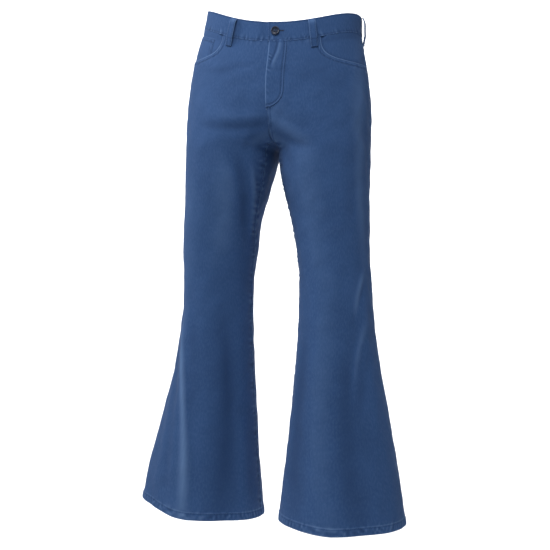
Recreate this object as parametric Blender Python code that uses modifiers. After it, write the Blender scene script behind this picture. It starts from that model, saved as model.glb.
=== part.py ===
"""Bell-bottom trousers, filled out and standing, as a maker cuts and sews them.

Metres, +Z up, the front facing -Y and the wearer's left at +X. The origin is the middle of the waist.
A place on the cloth is a turn and a height. The turn is the angle round one half of the trousers, in
degrees: 0 at the side seam, 90 at the front, 180 at the inner leg, and negative through the back. The
height runs down the cloth from 0 at the waist's side to HEM at the leg's end.
"""

import math

import bpy
import numpy as np
from mathutils import Matrix, Vector

MM = 0.001

# Cloth and seams
TWILL = 1.6 * MM
BAND_CLOTH = 2.4 * MM
PATCH_CLOTH = 1.2 * MM
SEAM = 0.3 * MM
INSEAM_GAP = 0.5 * MM
PATCH_GAP = 0.7 * MM

# Heights down the cloth
BAND_TOP = -3 * MM
WAIST_SEAM = -43 * MM
INSEAM_TOP = -277 * MM
HEM = -1060 * MM

# The pose: hips tilted and swayed to the wearer's right, the front of the waist cut lower
FRONT_DIP = 37 * MM
DIP_SHARPNESS = 2.6
DIP_END = -170 * MM
HIP_TILT = 0.0725
TILT_END = -360 * MM
SWAY = -8 * MM
SWAY_END = -200 * MM
SQUARENESS = 2.2
HALF_MIDDLE = 100 * MM

RIGHT, LEFT = -1, 1
SIDES = {"right": RIGHT, "left": LEFT}

# Sections, in millimetres. outer and inner are measured out from the centre seam, and a negative inner
# means that the section runs on over it. middle is forward (-) or back (+), fore and aft are the depths.
COLUMNS = ("height", "outer", "inner", "middle", "fore", "aft")
SECTIONS = {
    RIGHT: (
        (0, 163, -163, 0, 112, 112),
        (-40, 170, -170, 0, 113, 115),
        (-80, 181, -181, 0, 116, 121),
        (-120, 190, -190, 0, 118, 128),
        (-170, 197, -197, 0, 118, 135),
        (-200, 200, -148, 0, 116, 136),
        (-230, 202, -97, 0, 113, 132),
        (-260, 203, -44, 0, 109, 124),
        (-285, 203, 0, 0, 105, 117),
        (-310, 203, 8, 0, 102, 111),
        (-340, 204, 17, 0, 99, 106),
        (-380, 205, 29, 1, 94, 100),
        (-440, 209, 47, 3, 86, 91),
        (-500, 213, 54, 5, 79, 83),
        (-560, 213, 63, 7, 73, 75),
        (-620, 215, 65, 8, 71, 73),
        (-680, 225, 65, 10, 73, 74),
        (-750, 240, 63, 12, 79, 78),
        (-830, 259, 59, 14, 87, 83),
        (-920, 281, 55, 16, 95, 89),
        (-1000, 301, 49, 18, 102, 94),
        (-1060, 312, 45, 20, 108, 97),
    ),
    LEFT: (
        (0, 165, -165, 0, 112, 112),
        (-40, 166, -166, 0, 113, 115),
        (-80, 174, -174, 0, 116, 121),
        (-120, 183, -183, 0, 118, 128),
        (-170, 191, -189, 0, 118, 135),
        (-200, 193, -141, 0, 116, 136),
        (-230, 193, -92, 0, 113, 132),
        (-260, 192, -42, 0, 109, 124),
        (-285, 192, 0, -1, 105, 117),
        (-310, 192, 3, -2, 102, 111),
        (-340, 191, 6, -4, 99, 106),
        (-380, 191, 15, -6, 94, 100),
        (-440, 192, 31, -10, 86, 91),
        (-500, 193, 42, -14, 79, 83),
        (-560, 197, 48, -18, 73, 75),
        (-620, 202, 48, -21, 71, 73),
        (-680, 208, 46, -23, 73, 74),
        (-750, 219, 41, -25, 79, 78),
        (-830, 234, 34, -27, 87, 83),
        (-920, 250, 25, -29, 95, 89),
        (-1000, 263, 15, -31, 102, 94),
        (-1060, 271, 9, -33, 108, 97),
    ),
}

# How each leg's hem line leaves the level: all round, from inner to outer leg, at the front, and on each
# side of the front (mm)
HEM_LINE = {RIGHT: (8.5, 16.5, -13.5, 5.5), LEFT: (1.0, -3.0, -11.0, 4.0)}
HEM_LINE_START = -620 * MM

# The largest folds: turn at the top and at the bottom (degrees), heights, half width and rise (mm)
FOLDS = {
    RIGHT: (
        (45, 84, -600, -1100, 20, 6),
        (20, 46, -640, -1100, 42, -7),
        (116, 126, -470, -1100, 36, -6),
        (-62, -78, -560, -1100, 40, -6),
        (-122, -118, -520, -1100, 30, 4),
    ),
    LEFT: (
        (46, 62, -600, -1100, 38, -6),
        (27, 36, -540, -900, 18, 3),
        (104, 100, -480, -1100, 34, 4),
        (-58, -72, -560, -1100, 40, -6),
        (-124, -116, -520, -1100, 30, 4),
    ),
}

# Pocket mouths, yoke and patches, down the cloth from the waist seam
MOUTH_TURN = 54.5
MOUTH_DEPTH = 67 * MM
MOUTH_SQUARENESS = 3.2
FACING_TURN = 61.0
FACING_DEPTH = 79 * MM
COIN_TURNS = (5.0, 45.5)
COIN_TOP = -56 * MM
COIN_GAP = 0.5 * MM
# How far inside the mouth's curve the patch keeps, in degrees of turn
COIN_INSET = 0.5
YOKE_SIDE = -75 * MM
YOKE_CENTRE = -115 * MM
BACK_POCKET_MIDDLE = 104 * MM
BACK_POCKET_TOP = -122 * MM
BACK_POCKET_HEIGHT = 138 * MM
BACK_POCKET_WIDTH = 138 * MM
BACK_POCKET_TAPER = 20 * MM
BACK_POCKET_LEAN = 6 * MM
BACK_POCKET_POINT = 16 * MM

# Fly, waistband lap, button and belt loops
FLY_WIDTH = 33 * MM
FLY_LAP = 3 * MM
FLY_BEND = -178 * MM
FLY_END = -214 * MM
BAND_LIFT = 0.8 * MM
LAP = 2.5 * MM
UNDERLAP_GAP = 0.5 * MM
# Where the tucked end starts to dip and where it is wholly down, from the centre front
DIP_REACH = (26 * MM, 6 * MM)
BAND_HALF_WIDTH = 165 * MM
BUTTON_RADIUS = 8.8 * MM
BUTTON_HEIGHT = 3.2 * MM
BUTTON_OFFSET = 11.5 * MM
BUTTON_RAISE = 1.5 * MM
LOOP_WIDTH = 14 * MM
LOOP_CLOTH = 2.2 * MM
LOOP_GAP = 5.7 * MM
LOOP_SEAT = 0.35 * MM
FRONT_LOOP_TURN = {RIGHT: 63.0, LEFT: 60.8}
# How much nearer the centre front the front loops' tops are than their feet, in degrees of turn
FRONT_LOOP_LEAN = 2.4
SIDE_LOOP_TURN = -4.0
# Heights of the fly's rows, straight and then round its curved end (mm)
FLY_ROWS = (-43.3, -75, -110, -145, -178, -190, -200, -208, -213)
# The waistband's hidden end: distances from the centre front at which it dips behind the lap, and those
# at which it runs on behind the wearer's left side (mm)
DIPPING = (24, 18, 12, 6, 0)
HIDDEN = (13, 26, 38)
# The belt loop's path: height (mm), and how far it stands off, as a part of LOOP_GAP
LOOP_PATH = (
    (-4, 0.0),
    (-8, 0.55),
    (-14, 0.95),
    (-24, 1.0),
    (-36, 1.0),
    (-46, 0.93),
    (-54, 0.55),
    (-59, 0.16),
    (-64, 0.0),
)

TWILL_BLUE = (0.042, 0.098, 0.245, 1)
BUTTON_BLUE = (0.012, 0.022, 0.055, 1)


def smooth_step(value, start, end):
    """0 at start and 1 at end, level at both."""
    part = np.clip((np.asarray(value, float) - start) / (end - start), 0, 1)
    return part * part * (3 - 2 * part)


def section_at(side, height):
    """The section's sizes at these heights, in metres, on a smooth curve through the table's rows."""
    table = np.array(SECTIONS[side][::-1], float) * MM
    at, values = table[:, 0], table[:, 1:]
    slopes = np.gradient(values, at, axis=0)
    height = np.clip(np.asarray(height, float), at[0], at[-1])
    row = np.clip(np.searchsorted(at, height) - 1, 0, len(at) - 2)
    span = at[row + 1] - at[row]
    part = (height - at[row]) / span
    part, span = part[..., None], span[..., None]
    sizes = (
        values[row] * (1 + 2 * part) * (1 - part) ** 2
        + slopes[row] * span * part * (1 - part) ** 2
        + values[row + 1] * part**2 * (3 - 2 * part)
        + slopes[row + 1] * span * part**2 * (part - 1)
    )
    return dict(zip(COLUMNS[1:], np.moveaxis(sizes, -1, 0)))


def between(start, end, places):
    return start + (end - start) * places


def turned(turn, middle):
    """The angle from middle to turn, the short way round."""
    return (turn - middle + 180) % 360 - 180


def fold_rise(side, turn, height, radius):
    """How far the folds lift the cloth here."""
    rise = np.zeros(np.broadcast(turn, height).shape)
    for top_turn, low_turn, top, low, width, depth in FOLDS[side]:
        top, low = top * MM, low * MM
        down = np.clip((height - top) / (low - top), 0, 1)
        across = np.radians(turned(turn, between(top_turn, low_turn, down))) * radius
        along = smooth_step(down, 0, 0.35) * (1 - smooth_step(down, 0.9, 1.0) * (low > HEM))
        rise = rise + depth * MM * along * np.exp(-((across / (width * MM)) ** 2))
    return rise


def turn_at(side, distance, height):
    """The turn at which the section at this height lies this far out from the centre seam."""
    size = section_at(side, height)
    middle, half = (size["outer"] + size["inner"]) / 2, (size["outer"] - size["inner"]) / 2
    reach = np.clip((distance - middle) / half, -1, 1)
    return np.degrees(np.arccos(np.sign(reach) * np.abs(reach) ** (SQUARENESS / 2)))


def crossing(side, height):
    """The turn at which the section at this height meets the centre seam, half a seam short of it."""
    return float(turn_at(side, SEAM / 2, height))


def outer_face(side, turn, height):
    """Points on the outer face of the cloth, as an array of x, y, z."""
    turn, height = np.broadcast_arrays(np.asarray(turn, float), np.asarray(height, float))
    size = section_at(side, height)
    cosine, sine = np.cos(np.radians(turn)), np.sin(np.radians(turn))
    across = np.sign(cosine) * np.abs(cosine) ** (2 / SQUARENESS)
    forward = np.sign(sine) * np.abs(sine) ** (2 / SQUARENESS)
    half = (size["outer"] - size["inner"]) / 2
    depth = np.where(sine > 0, size["fore"], size["aft"])
    rise = fold_rise(side, turn, height, half)
    out = (size["outer"] + size["inner"]) / 2 + (half + rise) * across
    y = size["middle"] - (depth + rise) * forward
    x = SWAY * smooth_step(height, 0, SWAY_END) + side * out
    level, tilt, front, corner = (value * MM for value in HEM_LINE[side])
    ahead = np.clip(sine, 0, 1)
    hem = level + tilt * cosine + front * ahead + corner * 2 * ahead * np.abs(cosine)
    z = height - FRONT_DIP * ahead**DIP_SHARPNESS * smooth_step(height, DIP_END, WAIST_SEAM)
    z = z - HIP_TILT * smooth_step(height, TILT_END, BAND_TOP) * x
    z = z + hem * smooth_step(height, HEM_LINE_START, HEM)
    return np.stack([x, y, z], axis=-1)


def cloth_point(side, turn, height, lift=0.0):
    """Points this far out from the outer face, along its normal."""
    points = outer_face(side, turn, height)
    step_turn, step_height = 0.05, 0.2 * MM
    along = outer_face(side, turn + step_turn, height) - outer_face(side, turn - step_turn, height)
    down = outer_face(side, turn, height - step_height) - outer_face(side, turn, height + step_height)
    normal = np.cross(along, down) * side
    normal /= np.maximum(np.linalg.norm(normal, axis=-1, keepdims=True), 1e-12)
    return points + normal * np.asarray(lift)[..., None]


def turn_behind(side, distances, height):
    """The turns at these distances along the cloth from the centre seam, round the back."""
    turns = np.linspace(crossing(side, height), 0, 60)
    steps = np.linalg.norm(np.diff(outer_face(side, -turns, height), axis=0), axis=1)
    return np.interp(distances, np.concatenate([[0], np.cumsum(steps)]), turns)


def seam_spaced(count):
    """Places from 0 to 1 across a panel, with a narrow strip along each seam."""
    edge = 0.025
    return np.concatenate([[0], np.linspace(edge, 1 - edge, count - 1), [1]])


def panel_object(name, grid, thickness, material):
    """A wall through a grid of points on its outer face, thickened inwards."""
    rows, columns = grid.shape[:2]
    points = grid.reshape(-1, 3)
    faces = [
        (r * columns + c, r * columns + c + 1, (r + 1) * columns + c + 1, (r + 1) * columns + c)
        for r in range(rows - 1)
        for c in range(columns - 1)
    ]
    mesh = bpy.data.meshes.new(name)
    mesh.from_pydata(points.tolist(), [], faces)
    mesh.materials.append(material)
    mesh.shade_smooth()
    piece = bpy.data.objects.new(name, mesh)
    PARTS.objects.link(piece)
    wall = piece.modifiers.new("Cloth", "SOLIDIFY")
    wall.thickness = thickness
    wall.offset = -1
    return piece


def outward(grid, side=0):
    """The grid with its columns in the order that turns its faces away from the middle of that half."""
    corners = grid[:-1, :-1]
    normals = np.cross(grid[:-1, 1:] - corners, grid[1:, :-1] - corners)
    middle = np.array((side * HALF_MIDDLE, 0.0, 0.0))
    away = np.sum(normals[..., :2] * (corners - middle)[..., :2])
    return grid if away > 0 else grid[:, ::-1]


def seam_turn(side, turn, height, gap=SEAM / 2):
    """The turn that this gap takes up along the cloth at a place."""
    step = 0.5
    run = np.linalg.norm(outer_face(side, turn + step, height) - outer_face(side, turn, height))
    return step * gap / float(run)


# Rows of the front panel below the pocket mouth, and of the legs, which the back panel shares (mm)
FRONT_ROWS = (-147, -170, -192, -213, -232, -248, -261, -270)
THIGH_ROWS = (-277, -300, -330, -370, -415, -465, -515, -560)
SHIN_ROWS = (-605, -650, -700, -755, -815, -880, -945, -1005, -1043, -1060)
LEG_ROWS = THIGH_ROWS + SHIN_ROWS
# The front panel's columns: over the pocket mouth, as parts of its turn, and the number further in. They
# follow the mouth down to POCKET_FOOT and are evenly spaced from COLUMNS_EVEN down.
MOUTH_COLUMNS = (0.0, 0.2, 0.4, 0.58, 0.73, 0.85, 0.93, 0.98, 1.0)
INNER_COLUMNS = 9
POCKET_FOOT = -125 * MM
COLUMNS_EVEN = -200 * MM
# Rows of the back panel above the inseam: height at the side seam and at the centre seam (mm), and where
# the row ends on the centre seam: 1 behind the fork, 0 under it, -1 before it
BACK_ROWS = (
    (-75.3, -115.3, 1),
    (-98, -132, 1),
    (-128, -155, 1),
    (-160, -180, 1),
    (-192, -205, 1),
    (-222, -230, 1),
    (-247, -252, 1),
    (-266, -269, 1),
    (-281, -281.5, 1),
    (-290, -284.9, 0),
    (-300, -283.6, -1),
    (-309, -281.2, -1),
)
# The inseam: heights (mm) and the turn at each
INSEAM_HEIGHTS = (-277, -330, -370, -415, -465, -515, -560, -1060)
INSEAM_TURNS = (150, 156, 161, 166, 171, 176, 180, 180)
# How far the back panel's rows slope up to the inseam at its top, and where they run level
ROW_SLOPE = 40 * MM
ROWS_LEVEL = -560 * MM
# The rows under the fork crowd towards the centre seam between these heights: start, full, ease, end
CROWDING = 0.5
CROWDED = (-180 * MM, -270 * MM, -360 * MM, -550 * MM)


def inseam_turn(height):
    """The turn at which the inseam lies: forward of the inner leg at the fork, on it from the knee down."""
    return float(np.interp(-height, -np.array(INSEAM_HEIGHTS) * MM, INSEAM_TURNS))


def mouth_height(turn, widest=MOUTH_TURN, depth=MOUTH_DEPTH):
    """The height of a curve that drops from the waist seam at its widest turn to its depth at the side."""
    part = np.clip(np.asarray(turn) / widest, 0, 1)
    return WAIST_SEAM - SEAM - depth * (1 - part**MOUTH_SQUARENESS) ** (1 / MOUTH_SQUARENESS)


def front_turns(start, end, height):
    """The turns of the front panel's columns in the row at this height."""
    inwards = np.linspace(MOUTH_TURN, end, INNER_COLUMNS + 1)[1:]
    turns = np.concatenate([[start], MOUTH_TURN * np.array(MOUTH_COLUMNS[1:]), inwards])
    level = smooth_step(height, POCKET_FOOT, COLUMNS_EVEN)
    return between(turns, np.linspace(start, end, turns.size), level)


def front_panel(name, side, material):
    """Waist seam to hem, with the curved pocket mouth cut from its top outer corner."""
    turns = front_turns(seam_turn(side, 0, POCKET_FOOT), crossing(side, POCKET_FOOT), POCKET_FOOT)
    top = mouth_height(turns)
    grid = [cloth_point(side, turns, between(top, POCKET_FOOT, part)) for part in np.linspace(0, 1, 6)]
    for height in np.array(FRONT_ROWS + LEG_ROWS) * MM:
        if height > INSEAM_TOP:
            inner = crossing(side, height)
        else:
            inner = inseam_turn(height)
            inner -= seam_turn(side, inner, height, INSEAM_GAP / 2)
        turns = front_turns(seam_turn(side, 0, height), inner, height)
        grid.append(cloth_point(side, turns, np.full(turns.size, height)))
    return panel_object(name, outward(np.array(grid), side), TWILL, material)


def back_panel(name, side, material):
    """Yoke seam to hem; its inner edge runs down the centre seam, under the fork and down the inseam."""
    places = seam_spaced(15)
    rows = []
    for outer, inner, place in BACK_ROWS:
        turn = 180 - place * (180 - crossing(side, inner * MM))
        rows.append((outer * MM, inner * MM, turn))
    for inner in np.array(LEG_ROWS) * MM:
        turn = 360 - inseam_turn(inner)
        outer = inner - ROW_SLOPE * (1 - smooth_step(inner, INSEAM_TOP, ROWS_LEVEL))
        rows.append((outer, inner, turn - seam_turn(side, -turn, inner, INSEAM_GAP / 2)))
    grid = []
    for outer, inner, turn in rows:
        start, full, ease, end = CROWDED
        crowd = CROWDING * smooth_step(outer, start, full) * (1 - smooth_step(outer, ease, end))
        turns = between(seam_turn(side, 0, outer), turn, 1 - (1 - places) ** (1 + crowd))
        heights = between(outer, inner, places**2)
        points = cloth_point(side, -turns, heights)
        centre = SWAY * smooth_step(heights, 0, SWAY_END) + side * SEAM / 2
        points[:, 0] = side * np.maximum(side * points[:, 0], side * centre)
        grid.append(points)
    return panel_object(name, outward(np.array(grid), side), TWILL, material)


def back_yoke(name, side, material):
    """The shaped strip between waistband and back panel, deeper at the centre."""
    places = seam_spaced(13)
    grid = []
    for part in (0.0, 0.5, 1.0):
        outer = between(WAIST_SEAM - SEAM, YOKE_SIDE, part)
        inner = between(WAIST_SEAM - SEAM, YOKE_CENTRE, part)
        turns = between(seam_turn(side, 0, outer), crossing(side, inner), places)
        grid.append(cloth_point(side, -turns, between(outer, inner, places**2)))
    return panel_object(name, outward(np.array(grid), side), TWILL, material)


def pocket_facing(name, side, material):
    """The cloth seen inside the pocket mouth, tucked under the front panel's edge."""
    turns = FACING_TURN * np.array(MOUTH_COLUMNS[:-1])
    turns[0] = seam_turn(side, 0, WAIST_SEAM, SEAM)
    foot = mouth_height(turns, FACING_TURN, FACING_DEPTH)
    grid = []
    for part in np.linspace(0, 1, 7):
        heights = between(WAIST_SEAM - SEAM, foot, part)
        grid.append(cloth_point(side, turns, heights, -TWILL - PATCH_GAP))
    return panel_object(name, outward(np.array(grid), side), PATCH_CLOTH, material)


def coin_pocket(name, side, material):
    """The small patch on the facing, its lower edge just inside the pocket mouth."""
    turns = np.linspace(*COIN_TURNS, 7)
    foot = mouth_height(turns + COIN_INSET) + SEAM
    lift = -TWILL - PATCH_GAP + COIN_GAP + PATCH_CLOTH
    grid = [cloth_point(side, turns, between(COIN_TOP, foot, part), lift) for part in np.linspace(0, 1, 6)]
    return panel_object(name, outward(np.array(grid), side), PATCH_CLOTH, material)


def back_pocket(name, side, material):
    """A patch on the back panel, narrowing downwards to a shallow point."""
    across = np.linspace(-1, 1, 9)
    grid = []
    for part in np.linspace(0, 1, 8):
        half = (BACK_POCKET_WIDTH - BACK_POCKET_TAPER * part) / 2
        level = BACK_POCKET_TOP - BACK_POCKET_HEIGHT * part
        turns = turn_behind(side, BACK_POCKET_MIDDLE + across * half, level)
        heights = level + BACK_POCKET_LEAN * across + BACK_POCKET_POINT * np.abs(across) * part
        grid.append(cloth_point(side, -turns, heights, PATCH_GAP + PATCH_CLOTH))
    return panel_object(name, outward(np.array(grid), side), PATCH_CLOTH, material)


def on_front(side, x, height, lift):
    """A point over the front at this distance from the centre seam; the far side mirrors the near one."""
    point = cloth_point(side, turn_at(side, abs(x), height), height, lift)
    if x < 0:
        centre = float(SWAY * smooth_step(height, 0, SWAY_END))
        point[0] = 2 * centre - point[0]
    return point


def fly_placket(name, material):
    """The folded edge that laps over the centre front, down to its curved end."""
    grid = []
    places = np.linspace(0, 1, 7)
    for height in np.array(FLY_ROWS) * MM:
        part = float(np.clip((FLY_BEND - height) / (FLY_BEND - FLY_END), 0, 1))
        width = FLY_WIDTH * math.sqrt(1 - part**2)
        distances = between(-FLY_LAP, max(width, 3 * MM), places)
        grid.append([on_front(LEFT, x, height, PATCH_GAP + PATCH_CLOTH) for x in distances])
    return panel_object(name, outward(np.array(grid)), PATCH_CLOTH, material)


def band_turn(distance):
    """The turn that a distance takes up along the band at the centre front."""
    return math.degrees(distance / BAND_HALF_WIDTH)


def waistband(name, material):
    """One band round the waist: the wearer's left end laps over, the right end tucks under it."""
    stations = [(LEFT, 90.0 + band_turn(LAP), 0.0)]
    quarter = np.linspace(90, 0, 17)
    stations += [(LEFT, turn, 0.0) for turn in quarter]
    stations += [(LEFT, -turn, 0.0) for turn in quarter[::-1][1:]]
    stations += [(RIGHT, -turn, 0.0) for turn in quarter[1:]]
    stations += [(RIGHT, turn, 0.0) for turn in quarter[::-1][1:-2]]
    tucked = -BAND_CLOTH - UNDERLAP_GAP
    for distance in np.array(DIPPING) * MM:
        dip = tucked * float(smooth_step(distance, *DIP_REACH))
        stations.append((RIGHT, 90 - band_turn(distance), dip))
    stations += [(LEFT, 90 - band_turn(distance), tucked) for distance in np.array(HIDDEN) * MM]
    rows = []
    for height in (BAND_TOP, (BAND_TOP + WAIST_SEAM) / 2, WAIST_SEAM):
        rows.append([cloth_point(side, turn, height, BAND_LIFT + tuck) for side, turn, tuck in stations])
    return panel_object(name, outward(np.array(rows)), BAND_CLOTH, material)


def belt_loop(name, side, turn, material, lean=0.0):
    """A folded strip sewn at the band's top and below the waist seam, standing off between."""
    grid = []
    middle = (BAND_TOP + WAIST_SEAM) / 2
    degree = outer_face(side, turn + 0.5, middle) - outer_face(side, turn - 0.5, middle)
    turns = turn + np.array((-0.5, 0.0, 0.5)) * LOOP_WIDTH / float(np.linalg.norm(degree))
    top, foot = LOOP_PATH[0][0], LOOP_PATH[-1][0]
    for height, stand in LOOP_PATH:
        seat = LOOP_SEAT + (BAND_LIFT if height * MM > WAIST_SEAM - 4 * MM else 0.0)
        lift = seat + LOOP_GAP * stand + LOOP_CLOTH
        leaning = lean * (0.5 - (height - top) / (foot - top))
        grid.append(cloth_point(side, turns + leaning, np.full(3, height * MM), lift))
    return panel_object(name, outward(np.array(grid), side), LOOP_CLOTH, material)


def waist_button(name, material):
    """A turned disc with a raised rim, on the lapped end of the waistband."""
    rim, dish = BUTTON_RADIUS, BUTTON_RADIUS * 0.62
    profile = (
        (0, 0.55 * BUTTON_HEIGHT),
        (dish, 0.6 * BUTTON_HEIGHT),
        (rim * 0.82, BUTTON_HEIGHT),
        (rim * 0.94, 0.96 * BUTTON_HEIGHT),
        (rim, 0.7 * BUTTON_HEIGHT),
        (rim * 0.97, 0.3 * BUTTON_HEIGHT),
        (rim * 0.7, 0),
        (0, 0),
    )
    mesh = bpy.data.meshes.new(name)
    mesh.from_pydata([(x, 0, z) for x, z in profile], [(i, i + 1) for i in range(len(profile) - 1)], [])
    mesh.materials.append(material)
    button = bpy.data.objects.new(name, mesh)
    PARTS.objects.link(button)
    turned = button.modifiers.new("Turned", "SCREW")
    turned.steps = turned.render_steps = 24
    turned.use_merge_vertices = True
    turned.merge_threshold = 0.00001
    turned.use_normal_calculate = True
    height = (BAND_TOP + WAIST_SEAM) / 2 + BUTTON_RAISE
    turn = 90 - band_turn(BUTTON_OFFSET - LAP)
    seat = Vector(cloth_point(LEFT, turn, height, BAND_LIFT + SEAM))
    face = seat - Vector(cloth_point(LEFT, turn, height))
    button.matrix_world = Matrix.Translation(seat) @ face.to_track_quat("Z", "Y").to_matrix().to_4x4()
    return button


def finish(name, colour, roughness):
    material = bpy.data.materials.new(name)
    material.use_nodes = True
    shader = material.node_tree.nodes["Principled BSDF"]
    shader.inputs["Base Color"].default_value = colour
    shader.inputs["Roughness"].default_value = roughness
    shader.inputs["Metallic"].default_value = 0.0
    return material


def clear_scene():
    for old in list(bpy.data.objects):
        bpy.data.objects.remove(old, do_unlink=True)


def main():
    twill = finish("blue_twill", TWILL_BLUE, 0.85)
    resin = finish("button_resin", BUTTON_BLUE, 0.4)
    for word, side in SIDES.items():
        front_panel(f"front_panel_{word}", side, twill)
        back_panel(f"back_panel_{word}", side, twill)
        back_yoke(f"back_yoke_{word}", side, twill)
        back_pocket(f"back_pocket_{word}", side, twill)
        pocket_facing(f"pocket_facing_{word}", side, twill)
        belt_loop(f"belt_loop_front_{word}", side, FRONT_LOOP_TURN[side], twill, FRONT_LOOP_LEAN)
        belt_loop(f"belt_loop_side_{word}", side, SIDE_LOOP_TURN, twill)
    belt_loop("belt_loop_back", LEFT, -90.0, twill)
    coin_pocket("coin_pocket", RIGHT, twill)
    fly_placket("fly_placket", twill)
    waistband("waistband", twill)
    waist_button("waist_button", resin)


clear_scene()
PARTS = bpy.data.collections.new("bell_bottom_trousers")
bpy.context.scene.collection.children.link(PARTS)
main()
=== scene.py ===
"""Bell-bottom trousers in garment-dyed cotton twill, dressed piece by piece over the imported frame.

A place on the cloth is a turn and a height. The turn is the angle round one half of the trousers, in
degrees: 0 at the side seam, 90 at the front, 180 at the inner leg, and negative through the back. The
height runs down the cloth from 0 at the waist's side to HEM at the leg's end.
"""

import math

import bmesh
import bpy
import numpy as np
from bpy.props import FloatProperty, FloatVectorProperty, IntProperty, PointerProperty
from mathutils import Matrix, Vector


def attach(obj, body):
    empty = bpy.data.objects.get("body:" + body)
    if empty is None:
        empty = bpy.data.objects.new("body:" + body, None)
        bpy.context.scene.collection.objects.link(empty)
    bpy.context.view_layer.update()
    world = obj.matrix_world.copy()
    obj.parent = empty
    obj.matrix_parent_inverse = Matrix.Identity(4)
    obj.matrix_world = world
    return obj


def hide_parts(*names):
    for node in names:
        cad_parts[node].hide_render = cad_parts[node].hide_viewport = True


bl_info = {
    "name": "Bell-bottom trousers",
    "version": (1, 0, 0),
    "blender": (4, 5, 0),
    "location": "3D View > Sidebar > Trousers",
    "description": "Flared twill trousers with their stitching, creases and button",
    "category": "Object",
}

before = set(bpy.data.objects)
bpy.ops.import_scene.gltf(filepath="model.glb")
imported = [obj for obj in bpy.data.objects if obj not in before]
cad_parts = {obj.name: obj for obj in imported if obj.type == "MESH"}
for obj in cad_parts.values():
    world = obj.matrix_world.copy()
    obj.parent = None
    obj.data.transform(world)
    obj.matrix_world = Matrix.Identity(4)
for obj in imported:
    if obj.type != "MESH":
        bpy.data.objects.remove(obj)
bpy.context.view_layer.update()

MM = 0.001
RIGHT, LEFT = -1, 1
SIDES = {"right": RIGHT, "left": LEFT}

# Seams and edges, as heights down the cloth
BAND_TOP = -3 * MM
WAIST_SEAM = -43 * MM
POCKET_FOOT = -125 * MM
INSEAM_TOP = -277 * MM
FORK = -284.9 * MM
HEM = -1060 * MM
HEM_TURN_UP = 16 * MM
HIP = -200 * MM
SEAT = -240 * MM
SEAM = 0.3 * MM
TUCK = 5 * MM
TUCK_DROP = 1.7 * MM

# The pose: hips tilted and swayed to the wearer's right, the front of the waist cut lower
FRONT_DIP = 37 * MM
DIP_SHARPNESS = 2.6
DIP_END = -170 * MM
HIP_TILT = 0.0725
TILT_END = -360 * MM
SWAY = -8 * MM
SWAY_END = -200 * MM
SQUARENESS = 2.2
HALF_MIDDLE = 100 * MM

# Sections, in millimetres: the columns named here, and then outer, inner and middle again for the left
# side. fore and aft are the depths. outer and inner are measured out from the centre seam, and a negative
# inner means that the section runs on over it. middle is forward (-) or back (+).
COLUMNS = ("height", "fore", "aft", "outer", "inner", "middle")
OWN_COLUMNS = {RIGHT: [0, 1, 2, 3, 4, 5], LEFT: [0, 1, 2, 6, 7, 8]}
SECTIONS = (
    (0, 112, 112, 163, -163, 0, 165, -165, 0),
    (-40, 113, 115, 170, -170, 0, 166, -166, 0),
    (-80, 116, 121, 181, -181, 0, 174, -174, 0),
    (-120, 118, 128, 190, -190, 0, 183, -183, 0),
    (-170, 118, 135, 197, -197, 0, 191, -189, 0),
    (-200, 116, 136, 200, -148, 0, 193, -141, 0),
    (-230, 113, 132, 202, -97, 0, 193, -92, 0),
    (-260, 109, 124, 203, -44, 0, 192, -42, 0),
    (-285, 105, 117, 203, 0, 0, 192, 0, -1),
    (-310, 102, 111, 203, 8, 0, 192, 3, -2),
    (-340, 99, 106, 204, 17, 0, 191, 6, -4),
    (-380, 94, 100, 205, 29, 1, 191, 15, -6),
    (-440, 86, 91, 209, 47, 3, 192, 31, -10),
    (-500, 79, 83, 213, 54, 5, 193, 42, -14),
    (-560, 73, 75, 213, 63, 7, 197, 48, -18),
    (-620, 71, 73, 215, 65, 8, 202, 48, -21),
    (-680, 73, 74, 225, 65, 10, 208, 46, -23),
    (-750, 79, 78, 240, 63, 12, 219, 41, -25),
    (-830, 87, 83, 259, 59, 14, 234, 34, -27),
    (-920, 95, 89, 281, 55, 16, 250, 25, -29),
    (-1000, 102, 94, 301, 49, 18, 263, 15, -31),
    (-1060, 108, 97, 312, 45, 20, 271, 9, -33),
)

# How each leg's hem line leaves the level: all round, from inner to outer leg, at the front, and on each
# side of the front (mm)
HEM_LINE = {RIGHT: (8.5, 16.5, -13.5, 5.5), LEFT: (1.0, -3.0, -11.0, 4.0)}
HEM_LINE_START = -620 * MM

# The largest folds: turn at the top and at the bottom (degrees), heights, half width and rise (mm)
FOLDS = {
    RIGHT: (
        (45, 84, -600, -1100, 20, 6),
        (20, 46, -640, -1100, 42, -7),
        (116, 126, -470, -1100, 36, -6),
        (-62, -78, -560, -1100, 40, -6),
        (-122, -118, -520, -1100, 30, 4),
    ),
    LEFT: (
        (46, 62, -600, -1100, 38, -6),
        (27, 36, -540, -900, 18, 3),
        (104, 100, -480, -1100, 34, 4),
        (-58, -72, -560, -1100, 40, -6),
        (-124, -116, -520, -1100, 30, 4),
    ),
}

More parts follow.
